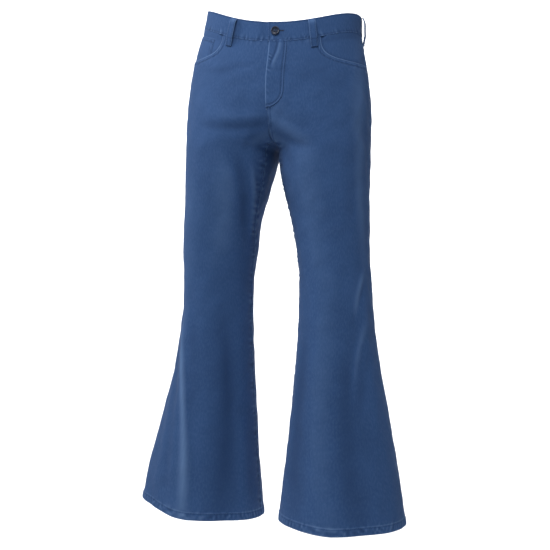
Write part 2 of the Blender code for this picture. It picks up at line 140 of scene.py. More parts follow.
# Creases listed one by one: turn and height where each starts and ends, half width and rise (mm). A rise
# below 0 is a trough.
CREASES = {
    RIGHT: (
        (88, -112, 40, -150, 10, -0.8),
        (118, -234, 56, -224, 12, 1.8),
        (118, -255, 52, -246, 13, -2.6),
        (104, -290, 152, -490, 14, -3.4),
        (132, -320, 162, -470, 8, 2.6),
        (42, -300, 48, -600, 30, 3.0),
        (96, -430, 112, -700, 20, -1.4),
        (40, -560, 56, -720, 12, 2.4),
        (49, -650, 92, -1090, 7, 4.0),
        (40, -700, 70, -1045, 17, -4.2),
        (30, -760, 52, -1060, 16, 1.5),
        (88, -610, 104, -820, 22, -1.6),
        (126, -640, 124, -1080, 22, -5.0),
        (142, -800, 150, -1070, 16, 2.4),
        (-22, -250, -84, -276, 12, -2.2),
        (-30, -282, -100, -300, 11, -2.4),
        (-36, -312, -104, -322, 12, 1.8),
        (-44, -338, -112, -346, 12, -1.8),
        (-30, -520, -104, -552, 14, -2.0),
        (-40, -566, -112, -590, 13, 1.8),
        (-34, -604, -102, -622, 14, -1.8),
        (-96, -1040, -112, -780, 16, -2.6),
        (-30, -1040, -44, -800, 18, 2.4),
    ),
    LEFT: (
        (104, -222, 84, -262, 12, -1.6),
        (128, -272, 92, -300, 12, -1.6),
        (134, -288, 118, -352, 14, -2.0),
        (112, -300, 100, -420, 26, 1.6),
        (40, -290, 44, -470, 16, -1.2),
        (28, -540, 52, -640, 7, 1.9),
        (30, -574, 58, -664, 8, -2.0),
        (32, -640, 64, -800, 8, 2.0),
        (24, -700, 54, -830, 10, -1.8),
        (96, -560, 98, -1060, 26, 2.2),
        (66, -700, 70, -1070, 20, -3.6),
        (46, -900, 44, -1070, 18, 1.8),
        (132, -740, 130, -1070, 18, -2.0),
        (-20, -246, -80, -272, 12, -2.2),
        (-28, -280, -98, -298, 11, -2.4),
        (-34, -312, -102, -324, 12, 1.8),
        (-40, -342, -108, -350, 12, -1.8),
        (-26, -528, -100, -556, 14, -2.0),
        (-36, -572, -108, -594, 13, 1.8),
        (-30, -612, -98, -630, 14, -1.8),
        (-94, -1040, -108, -790, 16, -2.6),
        (-34, -1040, -46, -810, 18, 2.4),
    ),
}
# Painted highlight and painted shade, laid as the creases are: streaks coloured lighter and darker where the
# light falls; the last number lightens above 0 and darkens below it
PAINTED_LIGHT_STREAKS = {
    RIGHT: (
        (49, -650, 92, -1090, 6, 0.8),
        (120, -640, 118, -1100, 26, -0.26),
        (104, -290, 152, -490, 12, -0.3),
        (132, -320, 162, -470, 7, 0.35),
        (118, -250, 52, -242, 9, -0.3),
        (134, -215, 126, -290, 20, 0.35),
        (100, -290, 104, -560, 24, 0.28),
        (64, -630, 84, -900, 12, -0.25),
    ),
    LEFT: (
        (30, -545, 54, -645, 6, 0.4),
        (34, -645, 66, -805, 7, 0.3),
        (68, -660, 70, -1100, 20, -0.2),
        (96, -300, 98, -600, 24, 0.14),
        (128, -600, 126, -1090, 30, -0.45),
        (144, -205, 126, -300, 24, 0.4),
        (96, -150, 104, -330, 26, 0.25),
        (18, -70, 26, -560, 17, 0.34),
    ),
}
# How much a millimetre of rise paints the cloth lighter on crests and darker in troughs, as painted highlight
# and shade and partly as rubbing, in the creases and in the largest folds
CREASE_WEAR_AND_PAINTED_LIGHT = 0.05
FOLD_WEAR_AND_PAINTED_LIGHT = 0.02
CREASE_BOW = 0.05
# The cloth's slight unevenness: wave lengths round and down the cloth, and heights (mm)
UNEVENNESS = ((64, 118, 0.42), (41, 83, 0.30), (97, 46, 0.34), (29, 57, 0.16))

# Sewn edges: rolled rim and its wear, thickness of the allowance, puckers with their pitch and reach (mm),
# and the distances of the stitch rows from the edge
EDGES = {
    "inseam": (0.5, 0.45, 0.6, 1.3, 13, 15, (1.8, 8.0)),
    "inseam_under": (0.2, 0.3, 0.2, 0.7, 17, 8, ()),
    "outseam": (0.5, 0.5, 0.25, 0.45, 21, 6, ()),
    "centre_front": (0.5, 0.9, 0.5, 0.35, 15, 7, (1.8, 7.6)),
    "centre_back": (0.4, 0.4, 0.4, 0.45, 16, 8, (1.8, 7.6)),
    "hem": (0.0, 0.0, 0.7, 0.85, 8.5, 8, (14.5,)),
    "mouth": (0.5, 1.0, 0.5, 0.4, 13, 5, (2.0, 8.2)),
    "waist": (0.0, 0.0, 0.2, 0.35, 13, 9, ()),
    "yoke": (0.4, 0.5, 0.4, 0.45, 15, 7, (1.8, 7.8)),
    "band_top": (0.3, 0.1, 0.2, 0.2, 12, 5, (2.4,)),
    "band_foot": (0.3, 0.4, 0.3, 0.8, 9, 8, (2.6,)),
    "patch": (0.6, 0.6, 0.3, 0.3, 12, 5, (1.8, 7.8)),
    "plain": (0.4, 0.2, 0.0, 0.1, 19, 4, ()),
}
ROLL_WIDTH = 1.3 * MM
GROOVE_DEPTH = 0.55 * MM
GROOVE_WIDTH = 1.5 * MM
STITCH_LIFT = 0.12 * MM
SHORTEST_STITCH = 0.86
LONGEST_STITCH = 1.06

# Pocket mouths, yoke and patches
MOUTH_TURN = 54.5
MOUTH_DEPTH = 67 * MM
MOUTH_SQUARENESS = 3.2
FACING_TURN = 61.0
FACING_DEPTH = 79 * MM
FACING_DROP = 2.2 * MM
COIN_TURNS = (5.0, 45.5)
COIN_TOP = -56 * MM
COIN_RISE = 1.3 * MM
YOKE_SIDE = -75 * MM
YOKE_CENTRE = -115 * MM
BACK_POCKET_MIDDLE = 104 * MM
BACK_POCKET_TOP = -122 * MM
BACK_POCKET_HEIGHT = 138 * MM
BACK_POCKET_WIDTH = 138 * MM
BACK_POCKET_TAPER = 20 * MM
BACK_POCKET_LEAN = 6 * MM
BACK_POCKET_POINT = 16 * MM
PATCH_RISE = 1.5 * MM

# Fly, waistband lap, button and belt loops
FLY_WIDTH = 37 * MM
FLY_LAP = 1 * MM
FLY_BEND = -178 * MM
FLY_END = -214 * MM
FLY_RISE = 1.5 * MM
FLY_ROW_GAP = 5.5 * MM
BAND_LIFT = 0.8 * MM
LAP = 2.5 * MM
LAP_PARTS = (1.0, 1 - 0.3, 1 - 0.6)
UNDERLAP = 38 * MM
BAND_HALF_WIDTH = 165 * MM
BUTTON_RADIUS = 8.8 * MM
BUTTON_HEIGHT = 3.2 * MM
BUTTON_OFFSET = 11.5 * MM
BUTTON_RAISE = 1.5 * MM
# The button's section, from the middle of its back to the middle of its face: shares of radius and height
BUTTON_PROFILE = (
    (0.0, 0.0),
    (0.62, 0.0),
    (0.86, 0.10),
    (0.97, 0.30),
    (1.0, 0.55),
    (0.985, 0.78),
    (0.94, 0.93),
    (0.88, 1.0),
    (0.81, 0.97),
    (0.75, 0.84),
    (0.69, 0.70),
    (0.60, 0.62),
    (0.40, 0.58),
    (0.0, 0.57),
)
LOOP_WIDTH = 14 * MM
LOOP_GAP = 5.7 * MM
LOOP_SEAT = 0.35 * MM
SIDE_LOOP_SHADE = 0.9
LOOP_CLOTH = 2.2 * MM
FRONT_LOOP_TURN = {RIGHT: 63.0, LEFT: 60.8}
FRONT_LOOP_LEAN = 2.4
SIDE_LOOP_TURN = -4.0
LOOP_PATH = (
    (-4, 0.0),
    (-8, 0.55),
    (-14, 0.95),
    (-24, 1.0),
    (-36, 1.0),
    (-46, 0.93),
    (-54, 0.55),
    (-59, 0.16),
    (-64, 0.0),
)

# The back panel: heights of its rows at the side seam and, down to the fork, at the centre seam
BACK_OUTER = (-75.3, -98, -128, -160, -192, -222, -247)
BACK_INNER = (-115.3, -132, -155, -180, -205, -230, -252)
ROW_SLOPE = 40 * MM
ROWS_LEVEL = -560 * MM
INSEAM_HEIGHTS = (-277, -330, -370, -415, -465, -515, -560, -1060)
INSEAM_TURNS = (150, 156, 161, 166, 171, 176, 180, 180)

# Rows and columns of the sheets
MOUTH_ROWS = 42
MOUTH_COLUMNS = 46
PANEL_COLUMNS = 74
BACK_COLUMNS = 112
LEG_ROWS = 158
LOW_ROWS = 16
BEND_ROWS = 7
TURN_UP_ROWS = (4, 9, 15.5)
UNDER_HEM_ROWS = BEND_ROWS + len(TURN_UP_ROWS)
BAND_ROWS = 26
BAND_COLUMNS = (3, 150, 141, 14, 12)
LOOP_ROWS = 44
LOOP_COLUMNS = 14

# Camera and studio, from the photograph's own view
CAMERA_TURN = 15.0
CAMERA_DISTANCE = 2.4
CAMERA_HEIGHT = -0.553
CAMERA_ASIDE = -0.01908
FOCAL_PIXELS = 1132.0
PHOTO_PIXELS = 550.0
SENSOR = 36.0
# Strength of the even light all round, and the lamps: name, place, target (m), size (m), power (W) and
# spread (degrees)
AIR = 0.30
LAMPS = (
    ("key_softbox", (-0.35, -1.5, 1.5), (0, 0, -0.1), 1.0, 33.0, 180),
    ("side_softbox", (-2.0, 0.0, 0.95), (0, 0, 0.15), 0.8, 26.0, 180),
    ("paper_light_left", (-1.9, 1.1, 1.2), (0.0, 2.8, -0.2), 1.2, 34.0, 110),
    ("paper_light_right", (1.9, 1.1, 1.2), (0.0, 2.8, -0.2), 1.2, 34.0, 110),
)


# ---- Settings ----


def length(name, description, value):
    return FloatProperty(name=name, description=description, default=value, unit="LENGTH")


def strength(name, description):
    return FloatProperty(name=name, description=description, default=1.0, min=0.0, subtype="FACTOR")


def colour(name, description, value):
    value = (*value, 1.0)
    return FloatVectorProperty(name=name, description=description, default=value, size=4, subtype="COLOR")


class TrousersSettings(bpy.types.PropertyGroup):
    """Sizes and colours of the cloth and its sewing."""

    cloth: length("Cloth", "Thickness of the twill", 1.1 * MM)
    crease_depth: strength("Crease depth", "Strength of the hand-laid creases")
    pucker_depth: strength("Pucker depth", "Strength of the puckers beside seams")
    stitch_length: length("Stitch length", "Length of one topstitch", 2.7 * MM)
    stitch_gap: length("Stitch gap", "Space between two topstitches", 0.7 * MM)
    thread: length("Thread", "Thickness of the topstitching thread", 0.65 * MM)
    seed: IntProperty(name="Seed", description="Seed of the stitches' slight unevenness", default=7)
    twill: colour("Twill", "Dyed twill", (0.040, 0.094, 0.235))
    # The worn colour is also painted on crests as highlight; the deep one darkens random clouds and is
    # painted in hollows, stitch grooves and under seams as shade
    worn_and_highlight: colour("Worn twill", "Rubbed edges and painted highlight on crests", (0.135, 0.235, 0.44))
    deep_and_shade: colour("Deep twill", "Darker dye clouds and painted shade in hollows", (0.020, 0.050, 0.135))
    thread_colour: colour("Thread colour", "Topstitching thread", (0.075, 0.15, 0.32))
    button: colour("Button", "Dark resin button", (0.009, 0.015, 0.036))


def settings():
    return bpy.context.scene.trousers


# ---- The form ----


def smooth_step(value, start, end):
    """0 at start and 1 at end, level at both."""
    part = np.clip((np.asarray(value, float) - start) / (end - start), 0, 1)
    return part * part * (3 - 2 * part)


def between(start, end, places):
    return start + (end - start) * places


def bump(distance, width):
    return np.exp(-((distance / width) ** 2))


def section_at(side, height):
    """The section's sizes at these heights, in metres, on a smooth curve through the table's rows."""
    table = np.array(SECTIONS[::-1], float)[:, OWN_COLUMNS[side]] * MM
    at, values = table[:, 0], table[:, 1:]
    slopes = np.gradient(values, at, axis=0)
    height = np.clip(np.asarray(height, float), at[0], at[-1])
    row = np.clip(np.searchsorted(at, height) - 1, 0, len(at) - 2)
    span = at[row + 1] - at[row]
    part = (height - at[row]) / span
    part, span = part[..., None], span[..., None]
    sizes = (
        values[row] * (1 + 2 * part) * (1 - part) ** 2
        + slopes[row] * span * part * (1 - part) ** 2
        + values[row + 1] * part**2 * (3 - 2 * part)
        + slopes[row + 1] * span * part**2 * (part - 1)
    )
    return dict(zip(COLUMNS[1:], np.moveaxis(sizes, -1, 0)))


def turned(turn, middle):
    """The angle from middle to turn, the short way round."""
    return (turn - middle + 180) % 360 - 180


def fold_rise(side, turn, height, radius):
    """How far the large folds lift the cloth here."""
    rise = np.zeros(np.broadcast(turn, height).shape)
    for top_turn, low_turn, top, low, width, depth in FOLDS[side]:
        top, low = top * MM, low * MM
        down = np.clip((height - top) / (low - top), 0, 1)
        across = np.radians(turned(turn, between(top_turn, low_turn, down))) * radius
        along = smooth_step(down, 0, 0.35) * (1 - smooth_step(down, 0.9, 1.0) * (low > HEM))
        rise = rise + depth * MM * along * bump(across, width * MM)
    return rise


def form(side, turn, height):
    """Points on the outer face of the form, as an array of x, y, z."""
    turn, height = np.broadcast_arrays(np.asarray(turn, float), np.asarray(height, float))
    size = section_at(side, height)
    cosine, sine = np.cos(np.radians(turn)), np.sin(np.radians(turn))
    across = np.sign(cosine) * np.abs(cosine) ** (2 / SQUARENESS)
    forward = np.sign(sine) * np.abs(sine) ** (2 / SQUARENESS)
    half = (size["outer"] - size["inner"]) / 2
    depth = np.where(sine > 0, size["fore"], size["aft"])
    rise = fold_rise(side, turn, height, half)
    out = (size["outer"] + size["inner"]) / 2 + (half + rise) * across
    y = size["middle"] - (depth + rise) * forward
    x = SWAY * smooth_step(height, 0, SWAY_END) + side * out
    level, tilt, front, corner = (value * MM for value in HEM_LINE[side])
    ahead = np.clip(sine, 0, 1)
    hem = level + tilt * cosine + front * ahead + corner * 2 * ahead * np.abs(cosine)
    z = height - FRONT_DIP * ahead**DIP_SHARPNESS * smooth_step(height, DIP_END, WAIST_SEAM)
    z = z - HIP_TILT * smooth_step(height, TILT_END, BAND_TOP) * x
    z = z + hem * smooth_step(height, HEM_LINE_START, HEM)
    return np.stack([x, y, z], axis=-1)


def girth_radius(side, height):
    """The mean radius of the section, for turning degrees into lengths."""
    size = section_at(side, height)
    return (size["outer"] - size["inner"]) / 4 + (size["fore"] + size["aft"]) / 4


def laid(table, side, turn, height):
    """The sum of a table's long soft ridges, each slightly bowed, in the unit of its last column."""
    total = np.zeros(np.broadcast(turn, height).shape)
    for turn_a, high, turn_b, low, width, amount in table[side]:
        radius = float(girth_radius(side, (high + low) / 2 * MM)) * math.pi / 180
        run = np.array(((turn_b - turn_a) * radius, (low - high) * MM))
        middle = (turn_a + turn_b) / 2
        across = (turned(turn, middle) + middle - turn_a) * radius
        down = height - high * MM
        along = (across * run[0] + down * run[1]) / run.dot(run)
        off = (across * run[1] - down * run[0]) / np.linalg.norm(run)
        bow = CREASE_BOW * np.linalg.norm(run) * (4 * along * (1 - along) - 0.5)
        ends = smooth_step(along, -0.12, 0.3) * (1 - smooth_step(along, 0.65, 1.12))
        total = total + amount * ends * bump(off + bow, width * MM)
    return total


def crease_rise(side, turn, height):
    """How far the listed creases and the cloth's unevenness lift it here."""
    rise = laid(CREASES, side, turn, height) * MM
    reach = np.radians(turn) * girth_radius(side, height)
    for round_length, down_length, depth in UNEVENNESS:
        phase = reach / (round_length * MM) * 2 * math.pi + side * depth * 9
        drop = np.asarray(height) / (down_length * MM) * 2 * math.pi
        wave = depth * MM * np.sin(phase + 0.8 * np.sin(drop * 0.7))
        rise = rise + wave * np.sin(drop + 1.3 * np.sin(phase * 0.5))
    calm = smooth_step(height, -60 * MM, -130 * MM)
    return rise * calm * settings().crease_depth


def cloth(side, turn, height, lift=0.0):
    """Points of the creased cloth, this far out from it, and the form's normals."""
    turn, height = np.broadcast_arrays(np.asarray(turn, float), np.asarray(height, float))
    step_turn, step_height = 0.05, 0.2 * MM
    along = form(side, turn + step_turn, height) - form(side, turn - step_turn, height)
    down = form(side, turn, height - step_height) - form(side, turn, height + step_height)
    normal = np.cross(along, down) * side
    normal /= np.maximum(np.linalg.norm(normal, axis=-1, keepdims=True), 1e-12)
    rise = crease_rise(side, turn, height) + lift
    return form(side, turn, height) + normal * rise[..., None], normal


def turn_at(side, distance, height):
    """The turn at which the section at this height lies this far out from the centre seam."""
    size = section_at(side, height)
    middle, half = (size["outer"] + size["inner"]) / 2, (size["outer"] - size["inner"]) / 2
    reach = np.clip((distance - middle) / half, -1, 1)
    return np.degrees(np.arccos(np.sign(reach) * np.abs(reach) ** (SQUARENESS / 2)))


def crossing(side, height):
    """The turn at which the section at this height meets the centre seam."""
    return turn_at(side, SEAM / 2, height)


def inseam_turn(height):
    return np.interp(-np.asarray(height), -np.array(INSEAM_HEIGHTS) * MM, INSEAM_TURNS)


def mouth_height(turn, widest=MOUTH_TURN, depth=MOUTH_DEPTH, top=WAIST_SEAM):
    """The height of a curve that drops from the top at its widest turn to its depth at the side."""
    part = np.clip(np.asarray(turn) / widest, 0, 1)
    return top - (depth + top - WAIST_SEAM) * (1 - part**MOUTH_SQUARENESS) ** (1 / MOUTH_SQUARENESS)


def turn_behind(side, distances, height):
    """The turns at these distances along the cloth from the centre seam, round the back."""
    turns = np.linspace(float(crossing(side, height)), 0, 60)
    steps = np.linalg.norm(np.diff(form(side, -turns, np.full(60, height)), axis=0), axis=1)
    return np.interp(distances, np.concatenate([[0], np.cumsum(steps)]), turns)


# ---- Sheets ----


def graded(count, crowd=0.7):
    """Places from 0 to 1, closer together towards both ends."""
    places = np.linspace(0, 1, count)
    return places - crowd * np.sin(2 * math.pi * places) / (2 * math.pi)


def run_of(points, axis):
    """The distance along the grid's lines from the first point of each."""
    steps = np.linalg.norm(np.diff(points, axis=axis), axis=-1)
    start = np.zeros(np.take(points, [0], axis=axis).shape[:-1])
    return np.concatenate([start, np.cumsum(steps, axis=axis)], axis=axis)


def ripple(along, pitch, shift):
    """Puckers along an edge: uneven waves of about this pitch."""
    turn = 2 * math.pi * along / pitch
    wave = np.sin(turn + 1.6 * np.sin(turn / 5.3 + shift) + 0.7 * np.sin(turn / 2.1 + 2 * shift))
    return wave * (0.62 + 0.38 * np.sin(turn / 3.7 + 3 * shift))


def edge_relief(distance, along, kind, shift=0.0):
    """Lift and rubbing beside a sewn edge, with painted shade in its stitch grooves and painted light and
    shade on its puckers, for places this far from it and this far along it.
    """
    roll, rim, pad, pucker, pitch, reach, rows = EDGES[kind]
    sewn = (rows[-1] if rows else 3.0) * MM
    lift = -roll * MM * bump(distance, ROLL_WIDTH)
    lift = lift + pad * MM * (1 - smooth_step(distance, sewn - MM, sewn + 2.5 * MM))
    wear_and_painted_light = rim * bump(distance, 1.6 * MM)
    for row in rows:
        lift = lift - GROOVE_DEPTH * bump(distance - row * MM, GROOVE_WIDTH)
        # Painted shade: the cloth is coloured darker along each stitch groove
        wear_and_painted_light = wear_and_painted_light - 0.6 * bump(distance - row * MM, GROOVE_WIDTH)
    slant = along + 0.55 * (distance - sewn)
    waves = ripple(slant, pitch * MM, shift) * bump(distance - sewn * 0.7, reach * MM)
    lift = lift + pucker * MM * waves * settings().pucker_depth
    # Painted light and shade on the puckers, partly rubbed roping: crests lighter, troughs darker; the
    # allowance a little lighter from rubbing
    wear_and_painted_light = wear_and_painted_light + 0.85 * min(pucker, 0.8) * waves + 0.12 * bump(distance - sewn / 2, sewn)
    return lift, wear_and_painted_light


class Sheet:
    """A grid of places on the cloth, with the relief, the rubbing and the painted highlight and shade
    gathered for it so far.
    """

    def __init__(self, side, turns, heights, lift=0.0):
        self.side = side
        self.turns, self.heights = np.broadcast_arrays(np.asarray(turns, float), np.asarray(heights, float))
        self.lift = np.zeros(self.turns.shape) + lift
        self.wear_and_painted_light = np.zeros(self.turns.shape)
        self.base = form(side, self.turns, self.heights)
        self.across = run_of(self.base, 1)
        self.down = run_of(self.base, 0)
        self.points = None

    def edge(self, distance, along, kind, shift=0.0, where=1.0):
        lift, wear_and_painted_light = edge_relief(np.maximum(distance, 0), along, kind, shift)
        self.lift = self.lift + lift * where
        self.wear_and_painted_light = self.wear_and_painted_light + wear_and_painted_light * where

    def place(self):
        self.points, self.normals = cloth(self.side, self.turns, self.heights, self.lift)
        folds = fold_rise(self.side, self.turns, self.heights, girth_radius(self.side, self.heights))
        creases = crease_rise(self.side, self.turns, self.heights)
        # Painted highlight on the crests and painted shade in the troughs of the creases and folds, partly
        # rubbing
        self.wear_and_painted_light = self.wear_and_painted_light + (CREASE_WEAR_AND_PAINTED_LIGHT * creases + FOLD_WEAR_AND_PAINTED_LIGHT * folds) / MM
        # Painted highlight and painted shade streaks
        self.wear_and_painted_light = self.wear_and_painted_light + laid(PAINTED_LIGHT_STREAKS, self.side, self.turns, self.heights)
        return self

    def sample(self, rows, columns, lift=STITCH_LIFT):
        """Points over the sheet at these fractional rows and columns."""
        return sample_grid(self.points + self.normals * lift, rows, columns)

    def line_down(self, distance, rows, from_end=False):
        """A line down the sheet at this distance from its first or last column."""
        columns = []
        for row in rows:
            run = self.across[row]
            run = run[-1] - run if from_end else run
            order = np.argsort(run)
            columns.append(np.interp(distance, run[order], order.astype(float)))
        return self.sample(rows, columns)

    def lines_down(self, kind, rows):
        """The stitch rows of this kind of edge, down the sheet's last column."""
        return [self.line_down(offset * MM, rows, from_end=True) for offset in EDGES[kind][-1]]

    def line_across(self, distances, offset, upwards=False):
        """A line across the sheet where the distances from its top, or upwards from its foot, are this."""
        columns = np.arange(1, self.points.shape[1] - 1)
        return self.sample(rows_at(distances, columns, offset, upwards), columns)

    def lines_along_foot(self, kind):
        """The stitch rows of this kind of edge, along the sheet's last row."""
        foot = self.down[-1:] - self.down
        return [self.line_across(foot, offset * MM, upwards=True) for offset in EDGES[kind][-1]]


def rows_at(distances, columns, offset, upwards=False):
    """The fractional row in each of these columns at which the distances down it reach the offset."""
    order = np.arange(distances.shape[0])[:: -1 if upwards else 1]
    return [np.interp(offset, distances[order, column], order) for column in columns]


def sample_grid(grid, rows, columns):
    rows, columns = np.asarray(rows, float), np.asarray(columns, float)
    r = np.clip(np.floor(rows).astype(int), 0, grid.shape[0] - 2)
    c = np.clip(np.floor(columns).astype(int), 0, grid.shape[1] - 2)
    u, v = (rows - r)[:, None], (columns - c)[:, None]
    return (
        grid[r, c] * (1 - u) * (1 - v)
        + grid[r + 1, c] * u * (1 - v)
        + grid[r, c + 1] * (1 - u) * v
        + grid[r + 1, c + 1] * u * v
    )


def faces_outward(points, side=0):
    """Whether the grid's faces, wound across and then down, face away from the middle of that half."""
    corners = points[:-1, :-1]
    normals = np.cross(points[:-1, 1:] - corners, points[1:, :-1] - corners)
    middle = np.array((side * HALF_MIDDLE, 0.0, 0.0))
    return float(np.sum(normals[..., :2] * (corners - middle)[..., :2])) > 0


def placed(name, data):
    piece = bpy.data.objects.new(name, data)
    bpy.context.scene.collection.objects.link(piece)
    return piece


def own_object(name, mesh, material):
    mesh.materials.clear()
    mesh.materials.append(material)
    mesh.shade_smooth()
    return placed(name, mesh)


def applied(piece):
    """The mesh that the object's modifiers make."""
    bpy.context.view_layer.update()
    graph = bpy.context.evaluated_depsgraph_get()
    mesh = bpy.data.meshes.new_from_object(piece.evaluated_get(graph))
    piece.modifiers.clear()
    return mesh


def cloth_object(name, points, wear_and_painted_light, thickness, side):
    """A sheet of twill through a grid of points, with its cloth coordinates and its rubbing with painted
    highlight and shade, thickened inwards.
    """
    if not faces_outward(points, side):
        points, wear_and_painted_light = points[:, ::-1], wear_and_painted_light[:, ::-1]
    rows, columns = points.shape[:2]
    index = np.arange(rows * columns).reshape(rows, columns)
    corners = [index[:-1, :-1], index[:-1, 1:], index[1:, 1:], index[1:, :-1]]
    quads = np.stack(corners, axis=-1).reshape(-1, 4)
    mesh = bpy.data.meshes.new(name)
    mesh.from_pydata(points.reshape(-1, 3).tolist(), [], quads.tolist())
    mid_row = run_of(points[rows // 2][None], 1)[0]
    down = run_of(points, 0)
    places = np.stack([np.broadcast_to(mid_row, (rows, columns)), -down], axis=-1).reshape(-1, 2)
    layer = mesh.uv_layers.new(name="cloth")
    loops = np.empty(len(mesh.loops), int)
    mesh.loops.foreach_get("vertex_index", loops)
    layer.data.foreach_set("uv", places[loops].ravel())
    # The attribute holds rubbed edges together with painted highlight and painted shade
    shade = mesh.attributes.new("wear_and_painted_light", "FLOAT", "POINT")
    shade.data.foreach_set("value", np.clip(wear_and_painted_light, -1, 1).ravel())
    piece = own_object(name, mesh, bpy.data.materials["garment_dyed_twill"])
    wall = piece.modifiers.new("Cloth", "SOLIDIFY")
    wall.thickness = thickness
    wall.offset = -1
    rim = piece.modifiers.new("Rim", "BEVEL")
    rim.width = thickness * 0.3
    rim.segments = 2
    rim.limit_method = "ANGLE"
    rim.angle_limit = math.radians(60)
    return piece


def sew_on(name, node, cut, held, rests_on=(), with_pieces=(), side=0, thickness=None):
    """A finished cloth piece, from its points and wear, seated on the frame in place of its solid."""
    points, wear_and_painted_light = cut
    piece = cloth_object(name, points, wear_and_painted_light, thickness or settings().cloth, side)
    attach(piece, "root")
    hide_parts(node)


# ---- Thread ----


def new_node(tree, kind, inputs=(), **options):
    """A node with these options, and a value set on or an output linked to each of these inputs."""
    node = tree.nodes.new(kind)
    for name, value in options.items():
        setattr(node, name, value)
    for socket, value in dict(inputs).items():
        if hasattr(value, "is_output"):
            tree.links.new(value, node.inputs[socket])
        else:
            node.inputs[socket].default_value = value
    return node


def new_group_tree(name, numbers):
    tree = bpy.data.node_groups.new(name, "GeometryNodeTree")
    tree.interface.new_socket("Geometry", in_out="INPUT", socket_type="NodeSocketGeometry")
    for label, kind in numbers:
        tree.interface.new_socket(label, in_out="INPUT", socket_type=kind)
    tree.interface.new_socket("Geometry", in_out="OUTPUT", socket_type="NodeSocketGeometry")
    return tree, tree.nodes.new("NodeGroupInput").outputs


def finish_tree(tree, geometry, material):
    """Realises what the tree made, gives it its material and smooth faces, and ends the tree."""
    realise = new_node(tree, "GeometryNodeRealizeInstances", {0: geometry})
    smooth = new_node(tree, "GeometryNodeSetShadeSmooth", {0: realise.outputs[0]})
    inputs = {"Geometry": smooth.outputs[0], "Material": material}
    paint = new_node(tree, "GeometryNodeSetMaterial", inputs)
    new_node(tree, "NodeGroupOutput", {0: paint.outputs[0]})


def stitch_tree(material):
    """Topstitches along lines: each one a short bead of thread, stretched along its line."""
    sizes = [(label, "NodeSocketFloat") for label in ("Stitch length", "Gap", "Thread")]
    tree, given = new_group_tree("topstitches", (*sizes, ("Seed", "NodeSocketInt")))
    curve = new_node(tree, "GeometryNodeMeshToCurve", {"Mesh": given["Geometry"]})
    sums = {0: given["Stitch length"], 1: given["Gap"]}
    pitch = new_node(tree, "ShaderNodeMath", sums, operation="ADD")
    inputs = {"Curve": curve.outputs["Curve"], "Length": pitch.outputs[0]}
    spaced = new_node(tree, "GeometryNodeResampleCurve", inputs, mode="LENGTH")
    tangent = new_node(tree, "GeometryNodeInputTangent").outputs[0]
    aim = new_node(tree, "FunctionNodeAlignRotationToVector", {"Vector": tangent}, axis="X")
    bead = new_node(tree, "GeometryNodeMeshIcoSphere", {"Radius": 0.5, "Subdivisions": 1})
    inputs = {"X": given["Stitch length"], "Y": given["Thread"], "Z": given["Thread"]}
    size = new_node(tree, "ShaderNodeCombineXYZ", inputs)
    inputs = {2: SHORTEST_STITCH, 3: LONGEST_STITCH, "Seed": given["Seed"]}
    vary = new_node(tree, "FunctionNodeRandomValue", inputs, data_type="FLOAT")
    inputs = {0: size.outputs[0], "Scale": vary.outputs[1]}
    scale = new_node(tree, "ShaderNodeVectorMath", inputs, operation="SCALE")
    inputs = {
        "Points": spaced.outputs["Curve"],
        "Instance": bead.outputs["Mesh"],
        "Rotation": aim.outputs["Rotation"],
        "Scale": scale.outputs[0],
    }
    sew = new_node(tree, "GeometryNodeInstanceOnPoints", inputs)
    finish_tree(tree, sew.outputs["Instances"], material)


def thread_tree(material):
    """One thread run along each line, as in a bartack or a buttonhole."""
    tree, given = new_group_tree("laid_thread", (("Thread", "NodeSocketFloat"),))
    curve = new_node(tree, "GeometryNodeMeshToCurve", {"Mesh": given["Geometry"]})
    half = new_node(tree, "ShaderNodeMath", {0: given["Thread"], 1: 0.5}, operation="MULTIPLY")
    ring = new_node(tree, "GeometryNodeCurvePrimitiveCircle", {"Resolution": 6, "Radius": half.outputs[0]})
    inputs = {"Curve": curve.outputs["Curve"], "Profile Curve": ring.outputs["Curve"], "Fill Caps": True}
    tube = new_node(tree, "GeometryNodeCurveToMesh", inputs)
    finish_tree(tree, tube.outputs["Mesh"], material)


def sewn(name, lines, group, values):
    """The thread that a node group lays along these lines, as a plain mesh that rides on the garment."""
    points, edges = [], []
    for line in lines:
        start = len(points)
        points.extend(np.asarray(line).tolist())
        edges.extend((start + i, start + i + 1) for i in range(len(line) - 1))
    guides = bpy.data.meshes.new(name)
    guides.from_pydata(points, edges, [])
    piece = placed(name, guides)
    modifier = piece.modifiers.new("Thread", "NODES")
    modifier.node_group = bpy.data.node_groups[group]
    for item in modifier.node_group.interface.items_tree:
        if item.in_out == "INPUT" and item.name in values:
            modifier[item.identifier] = values[item.name]
    piece.data = applied(piece)
    bpy.data.meshes.remove(guides)
    if not piece.data.polygons:
        raise RuntimeError(f"{name}: no thread was laid")
    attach(piece, "root")
    return piece


def topstitch(name, lines):
    own = settings()
    sizes = {"Stitch length": own.stitch_length, "Gap": own.stitch_gap, "Thread": own.thread}
    return sewn(name, lines, "topstitches", {**sizes, "Seed": own.seed})


def lay_thread(name, lines, thickness=0.45 * MM):
    return sewn(name, lines, "laid_thread", {"Thread": thickness})


def zigzag(start, end, width, pitch=0.5 * MM):
    """The thread of a bartack from start to end, as one line that crosses from side to side."""
    start, end = np.asarray(start), np.asarray(end)
    run = end - start
    length = np.linalg.norm(run)
    out = np.array((start[0] * 0.3, -1.0 if start[1] < 0 else 1.0, 0.0))
    across = np.cross(run / length, out / np.linalg.norm(out))
    count = max(6, int(length / pitch))
    places = np.linspace(0, 1, count)[:, None]
    sign = np.where(np.arange(count) % 2, 1, -1)[:, None]
    return start + run * places + across * sign * width / 2


# ---- Materials ----


